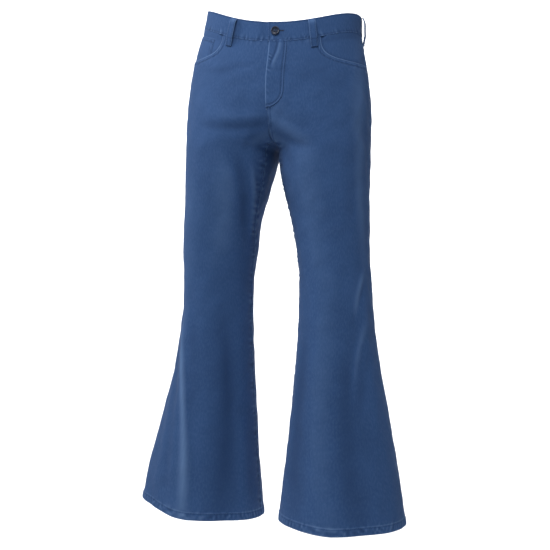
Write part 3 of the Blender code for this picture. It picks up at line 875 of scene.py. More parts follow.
def shader_tree(name, base, roughness, specular=0.5):
    material = bpy.data.materials.new(name)
    material.use_nodes = True
    shader = material.node_tree.nodes["Principled BSDF"]
    for socket, value in (("Base Color", base), ("Roughness", roughness), ("Specular IOR Level", specular)):
        shader.inputs[socket].default_value = value
    place = new_node(material.node_tree, "ShaderNodeTexCoord").outputs["Object"]
    return material.node_tree, shader, place


def mixed(tree, factor, first, second):
    inputs = {"Factor": factor, 6: first, 7: second}
    return new_node(tree, "ShaderNodeMix", inputs, data_type="RGBA").outputs[2]


def remap(tree, value, low, high, top):
    """0 where the value is low and top where it is high."""
    inputs = {"From Min": low, "From Max": high, "To Min": 0.0, "To Max": top, "Value": value}
    return new_node(tree, "ShaderNodeMapRange", inputs, clamp=True).outputs["Result"]


def noise(tree, vector, scale, detail=2.0):
    inputs = {"Scale": scale, "Detail": detail, "Vector": vector}
    return new_node(tree, "ShaderNodeTexNoise", inputs).outputs["Fac"]


def ribs(tree, vector, scale, distortion=0.0):
    """Fine diagonal ribs."""
    inputs = {"Scale": scale, "Distortion": distortion, "Vector": vector}
    return new_node(tree, "ShaderNodeTexWave", inputs, bands_direction="DIAGONAL").outputs["Fac"]


def finish_shader(tree, shader, base, height, strength, distance):
    """Gives the shader its colour, and relief of this height from a greyscale output."""
    inputs = {"Strength": strength, "Distance": distance, "Height": height}
    relief = new_node(tree, "ShaderNodeBump", inputs)
    tree.links.new(base, shader.inputs["Base Color"])
    tree.links.new(relief.outputs["Normal"], shader.inputs["Normal"])


def twill_material():
    """Matte dyed cotton twill: a fine diagonal rib, slubs, cloudy dye, and rubbed edges with painted
    highlight and painted shade that follow the sewing and the creases.
    """
    look = settings()
    tree, shader, place = shader_tree("garment_dyed_twill", look.twill, 0.86, 0.14)
    for socket, value in (("Weight", 0.07), ("Roughness", 0.55), ("Tint", (0.62, 0.74, 1.0, 1.0))):
        shader.inputs[f"Sheen {socket}"].default_value = value
    laid_flat = new_node(tree, "ShaderNodeUVMap", uv_map="cloth").outputs["UV"]
    wear_and_painted_light = new_node(tree, "ShaderNodeAttribute", attribute_name="wear_and_painted_light").outputs["Fac"]
    drawn_out = new_node(tree, "ShaderNodeMapping", {"Scale": (420, 130, 1), "Vector": laid_flat})
    cloud = remap(tree, noise(tree, place, 11.0, 3.0), 0.36, 0.66, 0.22)
    slub = remap(tree, noise(tree, drawn_out.outputs["Vector"], 1.0), 0.40, 0.72, 0.13)
    base = mixed(tree, cloud, look.twill, look.deep_and_shade)
    base = mixed(tree, slub, base, look.worn_and_highlight)
    # Painted highlight and painted shade on top of real rubbing: the attribute lightens towards the worn
    # colour where high and darkens towards the deep one where low
    base = mixed(tree, remap(tree, wear_and_painted_light, 0.02, 1.0, 0.85), base, look.worn_and_highlight)
    base = mixed(tree, remap(tree, wear_and_painted_light, -0.02, -0.6, 0.65), base, look.deep_and_shade)
    inputs = {0: ribs(tree, laid_flat, 440.0, 0.4), 1: 0.55, 2: noise(tree, laid_flat, 640.0)}
    weave = new_node(tree, "ShaderNodeMath", inputs, operation="MULTIPLY_ADD")
    finish_shader(tree, shader, base, weave.outputs[0], 0.5, 0.14 * MM)


def thread_material(name, base):
    """Thread with a fine diagonal ply, faded here and there to the twill's own colour."""
    tree, shader, place = shader_tree(name, base, 0.6)
    faded = remap(tree, noise(tree, place, 60.0), 0.3, 0.7, 0.4)
    base = mixed(tree, faded, base, settings().twill)
    finish_shader(tree, shader, base, ribs(tree, place, 900.0), 0.5, 0.08 * MM)


def button_material():
    """Dark resin with a faint swirl."""
    dark = settings().button
    lighter = tuple(min(1.0, value * 2.6 + 0.01) for value in dark[:3]) + (1.0,)
    tree, shader, place = shader_tree("dark_resin", dark, 0.38)
    swirl = noise(tree, place, 260.0, 3.0)
    base = mixed(tree, remap(tree, swirl, 0.45, 0.8, 0.5), dark, lighter)
    finish_shader(tree, shader, base, swirl, 0.15, 0.1 * MM)


def studio_material():
    """Pale paper with a faint fibre."""
    pale, paler = (0.93, 0.93, 0.93, 1), (0.945, 0.945, 0.945, 1)
    tree, shader, place = shader_tree("studio_paper", pale, 0.9, 0.1)
    fibre = remap(tree, noise(tree, place, 3.0), 0.3, 0.7, 1.0)
    tree.links.new(mixed(tree, fibre, pale, paler), shader.inputs["Base Color"])


# ---- Panels ----


def leg_heights():
    """Heights from the top of the inseam to the hem's fold and up its inner side, with the drop inwards."""
    fold = 1.05 * MM
    bend = np.linspace(0, math.pi, BEND_ROWS)
    outer = between(INSEAM_TOP, HEM + 22 * MM, np.linspace(0, 1, LEG_ROWS))
    low = between(HEM + 20 * MM, HEM + 1.5 * MM, np.linspace(0, 1, LOW_ROWS))
    turned_up = HEM + np.array(TURN_UP_ROWS) * MM
    heights = np.concatenate([outer, low, HEM + fold * (1 - np.sin(bend)), turned_up])
    drops = [np.zeros(LEG_ROWS + LOW_ROWS), -fold * (1 - np.cos(bend)), np.full(turned_up.size, -2 * fold)]
    return heights, np.concatenate(drops)


def tuck_drop(heights):
    """How far a sheet's top sinks to pass under the seam above it."""
    return TUCK_DROP * smooth_step(heights, WAIST_SEAM - 0.5 * MM, WAIST_SEAM + 1.5 * MM)


def hem_edge(sheet, shift):
    """The hem's stitched turn-up, on the rows of the leg alone."""
    above = np.maximum(sheet.heights - HEM, 0)
    sheet.edge(above, sheet.across, "hem", shift, where=above < 45 * MM)
    sheet.wear_and_painted_light = sheet.wear_and_painted_light + 0.5 * bump(above, 1.8 * MM) + 0.8 * bump(above - HEM_TURN_UP, 1.2 * MM)


def hem_line(sheet):
    """The stitch row of the turn-up, round the sheet's width."""
    count = sheet.points.shape[0] - UNDER_HEM_ROWS
    row = np.interp(-(HEM + EDGES["hem"][-1][0] * MM), -sheet.heights[:count, 0], np.arange(count))
    columns = np.arange(2, sheet.points.shape[1] - 2)
    return sheet.sample(np.full(columns.size, row), columns)


def front_panel(side):
    """Waist seam to hem, with the curved pocket mouth cut from its top outer corner."""
    over_mouth, inwards = graded(MOUTH_COLUMNS), graded(PANEL_COLUMNS)[1:]
    evenly = graded(MOUTH_COLUMNS + PANEL_COLUMNS - 1)

    def turns_to(end, spread):
        fitted = np.concatenate([MOUTH_TURN * over_mouth, between(MOUTH_TURN, end, inwards)])
        return between(fitted, end * evenly, spread)

    reach = -TUCK if side == RIGHT else SEAM / 2
    top_turns = turns_to(float(turn_at(side, reach, POCKET_FOOT)), 0.0)
    top = mouth_height(top_turns, top=WAIST_SEAM + TUCK)
    parts = np.linspace(0, 1, MOUTH_ROWS) ** 1.5
    rows = [(top_turns, between(top, POCKET_FOOT, part), 0.0) for part in parts]
    for height in np.arange(POCKET_FOOT - 4 * MM, INSEAM_TOP + 2 * MM, -4 * MM):
        end = float(turn_at(side, reach * float(smooth_step(height, INSEAM_TOP, SEAT)), height))
        rows.append((turns_to(end, float(smooth_step(height, POCKET_FOOT, HIP))), height, 0.0))
    for height, drop in zip(*leg_heights()):
        rows.append((turns_to(float(inseam_turn(height)), 1.0), height, drop))
    grids = [np.array([np.broadcast_to(row[part], top.shape) for row in rows]) for part in range(3)]
    sheet = Sheet(side, *grids)
    heights = sheet.heights
    outer, inner = sheet.across, sheet.across[:, -1:] - sheet.across
    sheet.edge(inner, sheet.down, "inseam", 1.0, where=heights <= INSEAM_TOP)
    centre = "centre_front" if side == LEFT else "plain"
    below_fly = smooth_step(heights, FLY_END + 14 * MM, FLY_END) if side == LEFT else 1.0
    sheet.edge(inner, sheet.down, centre, 2.0, where=(heights > INSEAM_TOP) * below_fly)
    sheet.edge(outer, sheet.down, "outseam", 3.0 + side, where=smooth_step(heights, -108 * MM, -116 * MM))
    mouth = mouth_distance(side, sheet.turns, heights)
    sheet.edge(mouth, sheet.across, "mouth", 4.0 + side, where=smooth_step(heights, -150 * MM, POCKET_FOOT))
    waist = np.clip(WAIST_SEAM - heights, 0, 1)
    sheet.edge(waist, sheet.across, "waist", 5.0, where=sheet.turns > MOUTH_TURN)
    # Painted shadow: the cloth just below the waist seam is coloured darker, as the band's shadow
    sheet.wear_and_painted_light = sheet.wear_and_painted_light - 0.6 * bump(waist, 2.2 * MM)
    sheet.lift = sheet.lift - tuck_drop(heights)
    if side == RIGHT:
        over = np.clip((TUCK - inner) / TUCK, 0, 1) * (heights > INSEAM_TOP)
        sheet.lift = sheet.lift - TUCK_DROP * smooth_step(over, 0.05, 0.5)
    hem_edge(sheet, 6.0 + side)
    return sheet.place()


def mouth_distance(side, turns, heights):
    """How far each place lies from the pocket mouth's edge, measured on the cloth."""
    curve = np.concatenate([np.linspace(0, 0.9, 30), 1 - np.geomspace(0.1, 1e-5, 40)]) * MOUTH_TURN
    radius = float(girth_radius(side, WAIST_SEAM - MOUTH_DEPTH / 2)) * math.pi / 180
    edge = np.stack([curve * radius, mouth_height(curve)], axis=-1)
    places = np.stack([turns * radius, heights], axis=-1)
    nearest = np.full(turns.shape, 1.0)
    for a, b in zip(edge[:-1], edge[1:]):
        run = b - a
        part = np.clip(((places - a) @ run) / max(run @ run, 1e-12), 0, 1)
        nearest = np.minimum(nearest, np.linalg.norm(places - a - part[..., None] * run, axis=-1))
    return nearest


def mouth_lines(sheet):
    """The two stitch rows beside the pocket mouth, on the panel's top rows."""
    top = np.arange(MOUTH_ROWS)
    distance = mouth_distance(sheet.side, sheet.turns[: top.size], sheet.heights[: top.size])
    radius = math.pi / 180 * float(girth_radius(sheet.side, WAIST_SEAM))
    columns = np.flatnonzero(sheet.turns[0] < MOUTH_TURN)[1:]
    widths = sheet.turns[0] * math.pi / 180 * float(girth_radius(sheet.side, WAIST_SEAM))
    lines = []
    for offset in EDGES["mouth"][-1]:
        rows = rows_at(distance, columns, offset * MM)
        beyond = np.interp(MOUTH_TURN * radius + offset * MM, widths, np.arange(widths.size))
        rows = np.concatenate([rows, np.linspace(rows[-1], 6, 5)[1:]])
        lines.append(sheet.sample(rows, np.concatenate([columns, np.linspace(columns[-1], beyond, 5)[1:]])))
    return lines


def back_sheet(side):
    """Yoke seam to hem; its inner edge runs down the centre seam, under the fork and up to the inseam."""
    places = graded(BACK_COLUMNS)
    upper = np.linspace(0, 1, 36)
    outer = np.interp(upper * 6, np.arange(7), np.array(BACK_OUTER) * MM)
    inner = np.interp(upper * 6, np.arange(7), np.array(BACK_INNER) * MM)
    outer[0] += TUCK
    inner[0] += TUCK
    rows = [(o, i, float(crossing(side, i))) for o, i in zip(outer, inner)]
    known = np.linspace(-240 * MM, FORK, 300)
    crossings = np.array([float(crossing(side, height)) for height in known])
    start = float(crossing(side, BACK_INNER[-1] * MM))
    for part in np.linspace(0, 1, 46)[1:]:
        turn = between(start, 210.0, part)
        height = float(np.interp(min(turn, 360 - turn), crossings, known))
        rows.append((between(BACK_OUTER[-1] * MM, INSEAM_TOP - ROW_SLOPE, part), height, turn))
    upto = len(rows)
    leg, leg_drops = leg_heights()
    drops = [0.0] * upto + list(leg_drops[1:])
    for height in leg[1:]:
        slope = ROW_SLOPE * (1 - float(smooth_step(height, INSEAM_TOP, ROWS_LEVEL)))
        rows.append((height - slope, height, 360 - float(inseam_turn(height))))
    turns, heights = [], []
    for outer_height, inner_height, turn in rows:
        crowd = 0.5 * smooth_step(outer_height, -180 * MM, -270 * MM)
        crowd = crowd * (1 - smooth_step(outer_height, -360 * MM, -550 * MM))
        turns.append(-turn * (1 - (1 - places) ** (1 + crowd)))
        heights.append(between(outer_height, inner_height, places**2))
    return Sheet(side, np.array(turns), np.array(heights), np.array(drops)[:, None]), upto


def back_panel(side):
    sheet, upto = back_sheet(side)
    heights = sheet.heights
    outer, inner = sheet.across, sheet.across[:, -1:] - sheet.across
    row = np.arange(heights.shape[0])[:, None] * np.ones(heights.shape)
    sheet.edge(inner, sheet.down, "centre_back" if side == LEFT else "plain", 2.5, where=row < upto)
    sheet.edge(inner, sheet.down, "inseam_under", 1.0, where=row >= upto)
    sheet.edge(outer, sheet.down, "outseam", 3.5 + side)
    sheet.edge(np.clip(sheet.down - TUCK, 0, 1), sheet.across, "waist", 5.5)
    sheet.lift = sheet.lift - TUCK_DROP * (1 - smooth_step(sheet.down, TUCK - 1.5 * MM, TUCK + 0.5 * MM))
    hem_edge(sheet, 6.5 + side)
    sheet.place()
    centre = SWAY * smooth_step(heights, 0, SWAY_END) + side * (SEAM / 2 + 0.22 * np.minimum(inner, 12 * MM))
    near = (row < upto) & (inner < 40 * MM)
    limited = side * np.maximum(side * sheet.points[..., 0], side * centre)
    sheet.points[..., 0] = np.where(near, limited, sheet.points[..., 0])
    return sheet, upto


def back_yoke(side):
    """The shaped strip between waistband and back panel, deeper at the centre."""
    places = graded(90)
    parts = np.concatenate([[-0.06], graded(34)])
    heights, turns = [], []
    for part in parts:
        outer = between(WAIST_SEAM, YOKE_SIDE, part)
        inner = between(WAIST_SEAM, YOKE_CENTRE, part)
        if part < 0:
            outer = inner = WAIST_SEAM + TUCK
        turns.append(-float(crossing(side, inner)) * places)
        heights.append(between(outer, inner, places**2))
    sheet = Sheet(side, np.array(turns), np.array(heights), 0.3 * MM)
    foot = sheet.down[-1:] - sheet.down
    inner = sheet.across[:, -1:] - sheet.across
    sheet.edge(foot, sheet.across, "yoke", 1.5 + side)
    sheet.edge(inner, sheet.down, "centre_back" if side == LEFT else "plain", 2.5)
    sheet.edge(sheet.across, sheet.down, "outseam", 3.5 + side)
    sheet.lift = sheet.lift - tuck_drop(sheet.heights)
    return sheet.place()


# ---- Patches, fly, band and loops ----


def facing_depth(turns, heights):
    """How far the facing lies below the panels' face: level with it at the side seam and the waist."""
    below_seam = smooth_step(heights, WAIST_SEAM, WAIST_SEAM - 16 * MM)
    under_panel = smooth_step(turns, MOUTH_TURN - 6, MOUTH_TURN - 0.5)
    inwards = smooth_step(turns, 2.0, 22.0) * np.maximum(below_seam, under_panel)
    foot = smooth_step(WAIST_SEAM - heights, MOUTH_DEPTH - 24 * MM, MOUTH_DEPTH - 6 * MM)
    return FACING_DROP * np.maximum(inwards, foot)


def pocket_facing(side):
    """The cloth seen inside the pocket mouth, level with the side seam and tucked under the panel's edge."""
    turns = FACING_TURN * 0.99 * graded(54)
    foot = mouth_height(turns, FACING_TURN, FACING_DEPTH)
    parts = np.concatenate([[-0.08], graded(40, 0.3)])
    heights = np.array([between(WAIST_SEAM, foot, part) for part in parts])
    heights[0] = WAIST_SEAM + TUCK
    turns = np.broadcast_to(turns, heights.shape)
    sheet = Sheet(side, turns, heights, -facing_depth(turns, heights))
    sheet.edge(sheet.across, sheet.down, "outseam", 3.0 + side)
    shade = mouth_distance(side, sheet.turns, heights)
    inside = heights > mouth_height(np.minimum(sheet.turns, MOUTH_TURN))
    # Painted shade: the facing is darker near the mouth's edge under the panel, and darker still where the
    # panel covers it
    sheet.wear_and_painted_light = sheet.wear_and_painted_light - 0.5 * bump(shade, 5 * MM) * inside - 0.55 * ~inside
    sheet.lift = sheet.lift - tuck_drop(heights)
    return sheet.place()


def coin_pocket(side):
    """The small patch on the facing, its lower edge just inside the pocket mouth."""
    turns = between(*COIN_TURNS, graded(36, 0.5))
    foot = mouth_height(turns + 1.5) - 1.5 * MM
    heights = np.array([between(COIN_TOP, foot, part) for part in graded(34, 0.5)])
    turns = np.broadcast_to(turns, heights.shape)
    sheet = Sheet(side, turns, heights, COIN_RISE - facing_depth(turns, heights))
    sheet.edge(sheet.down, sheet.across, "patch", 1.0)
    sheet.edge(sheet.across[:, -1:] - sheet.across, sheet.down, "patch", 2.0)
    sheet.edge(sheet.across, sheet.down, "patch", 3.0)
    return sheet.place()


def back_pocket(side):
    """A patch on the back panel, narrowing downwards to a shallow point, a little open at its top."""
    across = between(-1, 1, graded(58))
    heights, turns = [], []
    for part in graded(56):
        half = (BACK_POCKET_WIDTH - BACK_POCKET_TAPER * part) / 2
        level = BACK_POCKET_TOP - BACK_POCKET_HEIGHT * part
        turns.append(-turn_behind(side, BACK_POCKET_MIDDLE + across * half, level))
        heights.append(level + BACK_POCKET_LEAN * across + BACK_POCKET_POINT * np.abs(across) * part)
    sheet = Sheet(side, np.array(turns), np.array(heights), PATCH_RISE)
    gape = 2.2 * MM * bump(sheet.down, 16 * MM) * (1 - across**2)
    sheet.lift = sheet.lift + gape + 0.9 * MM * (1 - across**2) * np.sin(math.pi * graded(56))[:, None]
    top, foot = sheet.down, sheet.down[-1:] - sheet.down
    outer, inner = sheet.across, sheet.across[:, -1:] - sheet.across
    for number, edge in enumerate((top, foot, outer, inner)):
        along = sheet.across if number < 2 else sheet.down
        sheet.edge(edge, along, "patch", number + side)
    return sheet.place()


def on_front(x, height, lift):
    """Points over the left front this far from the centre seam, mirrored beyond it."""
    turns = turn_at(LEFT, np.abs(x), height)
    points, _ = cloth(LEFT, turns, height, lift)
    centre = SWAY * smooth_step(height, 0, SWAY_END)
    points[..., 0] = np.where(x < 0, 2 * centre - points[..., 0], points[..., 0])
    return points


def fly_width(height):
    part = np.clip((FLY_BEND - height) / (FLY_BEND - FLY_END), 0, 1)
    return FLY_WIDTH * np.sqrt(1 - part**2)


def fly_curve(further, count):
    """Heights round the fly's curved foot and this much further down, closer together towards the end."""
    return FLY_BEND - (FLY_BEND - FLY_END + further) * np.sin(np.linspace(0.05, math.pi / 2, count))


def fly_rows(x, height):
    """1 on the fly's two curved stitch rows, below 0 on the ridge between them and 0 elsewhere."""
    part = np.clip((FLY_BEND - height) / (FLY_BEND - FLY_END), 0, 2)
    outside = (np.hypot(np.maximum(x, 0) / FLY_WIDTH, part) - 1) * FLY_WIDTH
    rows = np.maximum(bump(outside, GROOVE_WIDTH), bump(outside + FLY_ROW_GAP, GROOVE_WIDTH))
    return rows - 0.7 * bump(outside + FLY_ROW_GAP / 2, 1.1 * MM)


def fly_folds(x, height):
    """The fly's puckers beside its edge and one soft fold that slants down to them: crests +1, troughs -1."""
    inside = 1 - bump(x + FLY_LAP, 2.5 * MM)
    puckers = ripple(height + 0.9 * x, 13 * MM, 2.0) * bump(x - 4 * MM, 5 * MM)
    fading = 0.4 + 0.6 * smooth_step(height, -150 * MM, -120 * MM)
    puckers = puckers * smooth_step(height, -60 * MM, -80 * MM) * fading
    slant = between(17 * MM, 7 * MM, smooth_step(height, WAIST_SEAM, -115 * MM))
    crest = 0.9 * bump(x - slant - 5 * MM, 4 * MM) - 1.3 * bump(x - slant, 2.4 * MM)
    return (puckers + smooth_step(height, -135 * MM, -95 * MM) * crest) * inside


def fly_lift(x, height):
    """The fly's lap stands proud at its edge and sinks into the panel past the curved stitch rows."""
    width = fly_width(height)
    inward = np.clip((x + FLY_LAP) / (width + FLY_LAP), 0, 1.4)
    rim = -0.4 * MM * bump(x + FLY_LAP, ROLL_WIDTH)
    grooves = -GROOVE_DEPTH * fly_rows(x, height)
    folds = 0.5 * MM * fly_folds(x, height)
    rise = FLY_RISE * (1 - smooth_step(inward, 0.8, 1.15)) - 0.9 * MM * smooth_step(inward, 0.98, 1.2)
    return rise + rim + grooves + folds


def fly_placket():
    """The folded edge that laps over the centre front, down to its curved end."""
    straight = between(WAIST_SEAM, FLY_BEND, graded(60, 0.2))
    heights = np.concatenate([[WAIST_SEAM + TUCK], straight, fly_curve(4 * MM, 26)])
    reach = np.maximum(fly_width(heights), 4 * MM) + 5 * MM
    grid = between(-FLY_LAP, reach[:, None], graded(40)[None, :])
    tall = np.broadcast_to(heights[:, None], grid.shape)
    points = on_front(grid, tall, fly_lift(grid, tall) - tuck_drop(tall))
    # The lap's edge is lighter from rubbing; painted light and shade: fold crests lighter and troughs darker,
    # stitch rows darker with a painted highlight on the ridge between them, and a painted shadow under the
    # waist seam
    wear_and_painted_light = 1.0 * bump(grid + FLY_LAP, 1.7 * MM) + 0.6 * fly_folds(grid, tall) - 0.8 * fly_rows(grid, tall)
    wear_and_painted_light = wear_and_painted_light - 0.6 * bump(WAIST_SEAM - tall, 2.2 * MM)
    return points, wear_and_painted_light


def fly_lines():
    """The two rows of the curved topstitch and the short one that closes the lap's foot."""
    lines = []
    for inset in (0.0, FLY_ROW_GAP):
        down = np.concatenate([np.linspace(WAIST_SEAM, FLY_BEND, 50), fly_curve(-inset, 30)])
        part = np.clip((FLY_BEND - down) / (FLY_BEND - FLY_END - inset), 0, 1)
        x = (FLY_WIDTH - inset) * np.sqrt(1 - part**2)
        lines.append(on_front(x, down, np.maximum(fly_lift(x, down), 0) + STITCH_LIFT))
    return lines


def band_stations():
    """Places round the waistband from the lapped end to the end beneath it: side, turn and drop inwards."""
    per_metre = 180 / math.pi / BAND_HALF_WIDTH
    lap, left, right, tucking, under = BAND_COLUMNS
    stations = [(LEFT, 90 + LAP * per_metre * part, 0.0) for part in LAP_PARTS[:lap]]
    stations += [(LEFT, turn, 0.0) for turn in np.linspace(90, -90, left)]
    stations += [(RIGHT, turn, 0.0) for turn in np.linspace(-90, 81, right + 1)[1:]]
    tucked = -3.0 * MM
    for distance in np.linspace(24, 0.3, tucking) * MM:
        drop = tucked * float(smooth_step(distance, 20 * MM, 5 * MM))
        stations.append((RIGHT, 90 - distance * per_metre, drop))
    distances = np.linspace(0.5 * MM, UNDERLAP, under)
    return stations + [(LEFT, 90 - distance * per_metre, tucked) for distance in distances]


def waistband():
    """One band round the waist: the wearer's left end laps over, the right end tucks under it."""
    places = graded(BAND_ROWS, 0.5)
    heights = between(BAND_TOP, WAIST_SEAM, places)

    def laid_out(lift):
        columns = []
        for column, (side, turn, tuck) in enumerate(band_stations()):
            out = BAND_LIFT + tuck + lift[:, column] if lift is not None else BAND_LIFT + tuck
            columns.append(cloth(side, np.full(heights.size, turn), heights, out)[0])
        return np.stack(columns, axis=1)

    points = laid_out(None)
    across, down = run_of(points, 1), run_of(points, 0)
    # The band's edges carry rubbing, painted shade in the stitch grooves and painted light and shade on the
    # puckers
    lift, wear_and_painted_light = edge_relief(down, across, "band_top", 1.0)
    low, low_wear_and_painted_light = edge_relief(down[-1:] - down, across, "band_foot", 2.0)
    end, end_wear_and_painted_light = edge_relief(across, down, "band_top", 3.0)
    waves = 0.35 * MM * ripple(across + 0.4 * down, 74 * MM, 1.0) * np.sin(math.pi * places)[:, None]
    return laid_out(lift + low + end + waves), wear_and_painted_light + low_wear_and_painted_light + end_wear_and_painted_light


def belt_loop(side, turn, lean=0.0):
    """A folded strip sewn at the band's top and below the waist seam, standing off between."""
    table = np.array(LOOP_PATH)
    heights = np.linspace(table[0, 0], table[-1, 0], LOOP_ROWS)
    stand = np.interp(-heights, -table[:, 0], table[:, 1])
    stand = np.convolve(np.pad(stand, 3, mode="edge"), np.ones(7) / 7, mode="valid")
    step = form(side, turn + 0.5, -20 * MM) - form(side, turn - 0.5, -20 * MM)
    places = between(-0.5, 0.5, graded(LOOP_COLUMNS, 0.5))
    turns = turn + places * LOOP_WIDTH / float(np.linalg.norm(step))
    seat = np.where(heights * MM > WAIST_SEAM - 4 * MM, BAND_LIFT, 0.0) + LOOP_SEAT
    lift = seat + LOOP_GAP * stand + LOOP_CLOTH
    leaning = lean * between(0.5, -0.5, np.linspace(0, 1, heights.size))
    grid_turns = turns[None, :] + leaning[:, None]
    grid_heights = np.broadcast_to(heights[:, None] * MM, grid_turns.shape)
    width = np.abs(places)
    crown = -0.35 * MM * (width / 0.5) ** 4 + 0.25 * MM * bump(width - 0.3, 0.12)
    points, _ = cloth(side, grid_turns, grid_heights, lift[:, None] + crown)
    # The loop's edges are lighter from rubbing; painted shade along its stitch rows
    wear_and_painted_light = 0.8 * bump(0.5 - width, 0.07)[None, :] - 0.5 * bump(width - 0.36, 0.05)[None, :]
    wear_and_painted_light = wear_and_painted_light + 0.4 * bump(heights + 8, 6)[:, None]
    return points, np.broadcast_to(wear_and_painted_light, grid_turns.shape)


def loop_lines(points):
    """Two stitch rows down the loop and a bartack across each end."""
    out = np.cross(points[:, -1] - points[:, 0], np.gradient(points[:, 6], axis=0))
    out /= np.linalg.norm(out, axis=1, keepdims=True)
    if np.sum(out[:, :2] * points[:, 6, :2]) < 0:
        out = -out
    rows = [points[2:-2, column] + out[2:-2] * STITCH_LIFT for column in (3, 10)]
    tacks = []
    for row in (1, -2):
        start, end = points[row, 1] + out[row] * 0.3 * MM, points[row, -2] + out[row] * 0.3 * MM
        tacks.append(zigzag(start, end, 1.8 * MM))
    return rows, tacks


# ---- Operators ----


class TROUSERS_OT_studio(bpy.types.Operator):
    """Floor and backdrop, light, camera and the finishes that the pieces share"""

    bl_idname = "trousers.studio"
    bl_label = "Studio and finishes"

    def execute(self, context):
        twill_material()
        thread_material("topstitch_thread", settings().thread_colour)
        # Dark thread, also used as painted shade in the buttonhole
        thread_material("dark_thread_and_slit_shade", settings().button)
        button_material()
        studio_material()
        stitch_tree(bpy.data.materials["topstitch_thread"])
        thread_tree(bpy.data.materials["topstitch_thread"])
        self.backdrop()
        self.light(context)
        self.camera(context)
        return {"FINISHED"}

    def backdrop(self):
        """One sheet of pale paper: a level floor that curves up into a wall behind."""
        floor, front, back, bend, height, half = -1.45, -1.0, 2.8, 1.0, 1.6, 2.1
        arc = np.linspace(0, math.pi / 2, 14)
        profile = [(front, floor), (back - bend, floor)]
        profile += [(back - bend + bend * math.sin(a), floor + bend * (1 - math.cos(a))) for a in arc[1:]]
        profile.append((back, height))
        points = [(x, y, z) for x in (-half, half) for y, z in profile]
        count = len(profile)
        faces = [(i, i + count, i + count + 1, i + 1) for i in range(count - 1)]
        mesh = bpy.data.meshes.new("studio_floor")
        mesh.from_pydata(points, [], faces)
        paper = own_object("studio_floor", mesh, bpy.data.materials["studio_paper"])
        mesh.transform(Matrix.Rotation(math.radians(CAMERA_TURN), 4, "Z"))

    def light(self, context):
        world = bpy.data.worlds.new("studio_air")
        world.use_nodes = True
        air = world.node_tree.nodes["Background"]
        air.inputs["Color"].default_value = (0.84, 0.92, 1.0, 1.0)
        air.inputs["Strength"].default_value = AIR
        context.scene.world = world
        context.scene.view_settings.view_transform = "Standard"
        turn = Matrix.Rotation(math.radians(CAMERA_TURN), 3, "Z")
        for name, place, target, size, power, spread in LAMPS:
            lamp = bpy.data.lights.new(name, "AREA")
            lamp.size = size
            lamp.energy = power
            lamp.spread = math.radians(spread)
            piece = placed(name, lamp)
            piece.location = turn @ Vector(place)
            aim = turn @ Vector(target) - piece.location
            piece.rotation_euler = aim.to_track_quat("-Z", "Y").to_euler()

    def camera(self, context):
        turn = math.radians(CAMERA_TURN)
        right = Vector((math.cos(turn), math.sin(turn), 0))
        ahead = Vector((-math.sin(turn), math.cos(turn), 0))
        lens = bpy.data.cameras.new("photo_view")
        lens.sensor_width = SENSOR
        lens.lens = FOCAL_PIXELS * SENSOR / PHOTO_PIXELS
        eye = placed("photo_view", lens)
        eye.location = right * CAMERA_ASIDE - ahead * CAMERA_DISTANCE + Vector((0, 0, CAMERA_HEIGHT))
        eye.rotation_euler = (math.pi / 2, 0, turn)
        context.scene.camera = eye


class TROUSERS_OT_fronts(bpy.types.Operator):
    """Front panels with their pocket mouths, inseam, centre seam and hem stitching"""

    bl_idname = "trousers.fronts"
    bl_label = "Front panels"

    def execute(self, context):
        for word, side in SIDES.items():
            sheet = front_panel(side)
            last = sheet.heights[:, -1]
            lines = [*mouth_lines(sheet), hem_line(sheet)]
            leg = (last < INSEAM_TOP) & (last > HEM + 2 * MM)
            leg[-UNDER_HEM_ROWS:] = False
            lines += sheet.lines_down("inseam", np.flatnonzero(leg))
            if side == LEFT:
                below_fly = np.flatnonzero((last < FLY_END) & (last > INSEAM_TOP))
                lines += sheet.lines_down("centre_front", below_fly)
            thread = topstitch(f"front_stitches_{word}", lines)
            cut = sheet.points, sheet.wear_and_painted_light
            sew_on(f"front_cloth_{word}", f"front_panel_{word}", cut, "hung", ("waistband",), (thread,), side)
        return {"FINISHED"}


class TROUSERS_OT_backs(bpy.types.Operator):
    """Back panels and yokes with their seam stitching"""

    bl_idname = "trousers.backs"
    bl_label = "Back panels and yokes"

    def execute(self, context):
        for word, side in SIDES.items():
            yoke = back_yoke(side)
            lines = yoke.lines_along_foot("yoke")
            if side == LEFT:
                lines += yoke.lines_down("centre_back", np.arange(2, yoke.points.shape[0] - 1))
            thread = topstitch(f"yoke_stitches_{word}", lines)
            name, cut = f"yoke_cloth_{word}", (yoke.points, yoke.wear_and_painted_light)
            sew_on(name, f"back_yoke_{word}", cut, "hung", ("waistband",), (thread,), side)
            sheet, upto = back_panel(side)
            lines = [hem_line(sheet)]
            if side == LEFT:
                lines += sheet.lines_down("centre_back", np.arange(4, upto - 4))
            thread = topstitch(f"back_stitches_{word}", lines)
            cut = sheet.points, sheet.wear_and_painted_light
            sew_on(f"back_cloth_{word}", f"back_panel_{word}", cut, "hung", (name,), (thread,), side)
        return {"FINISHED"}


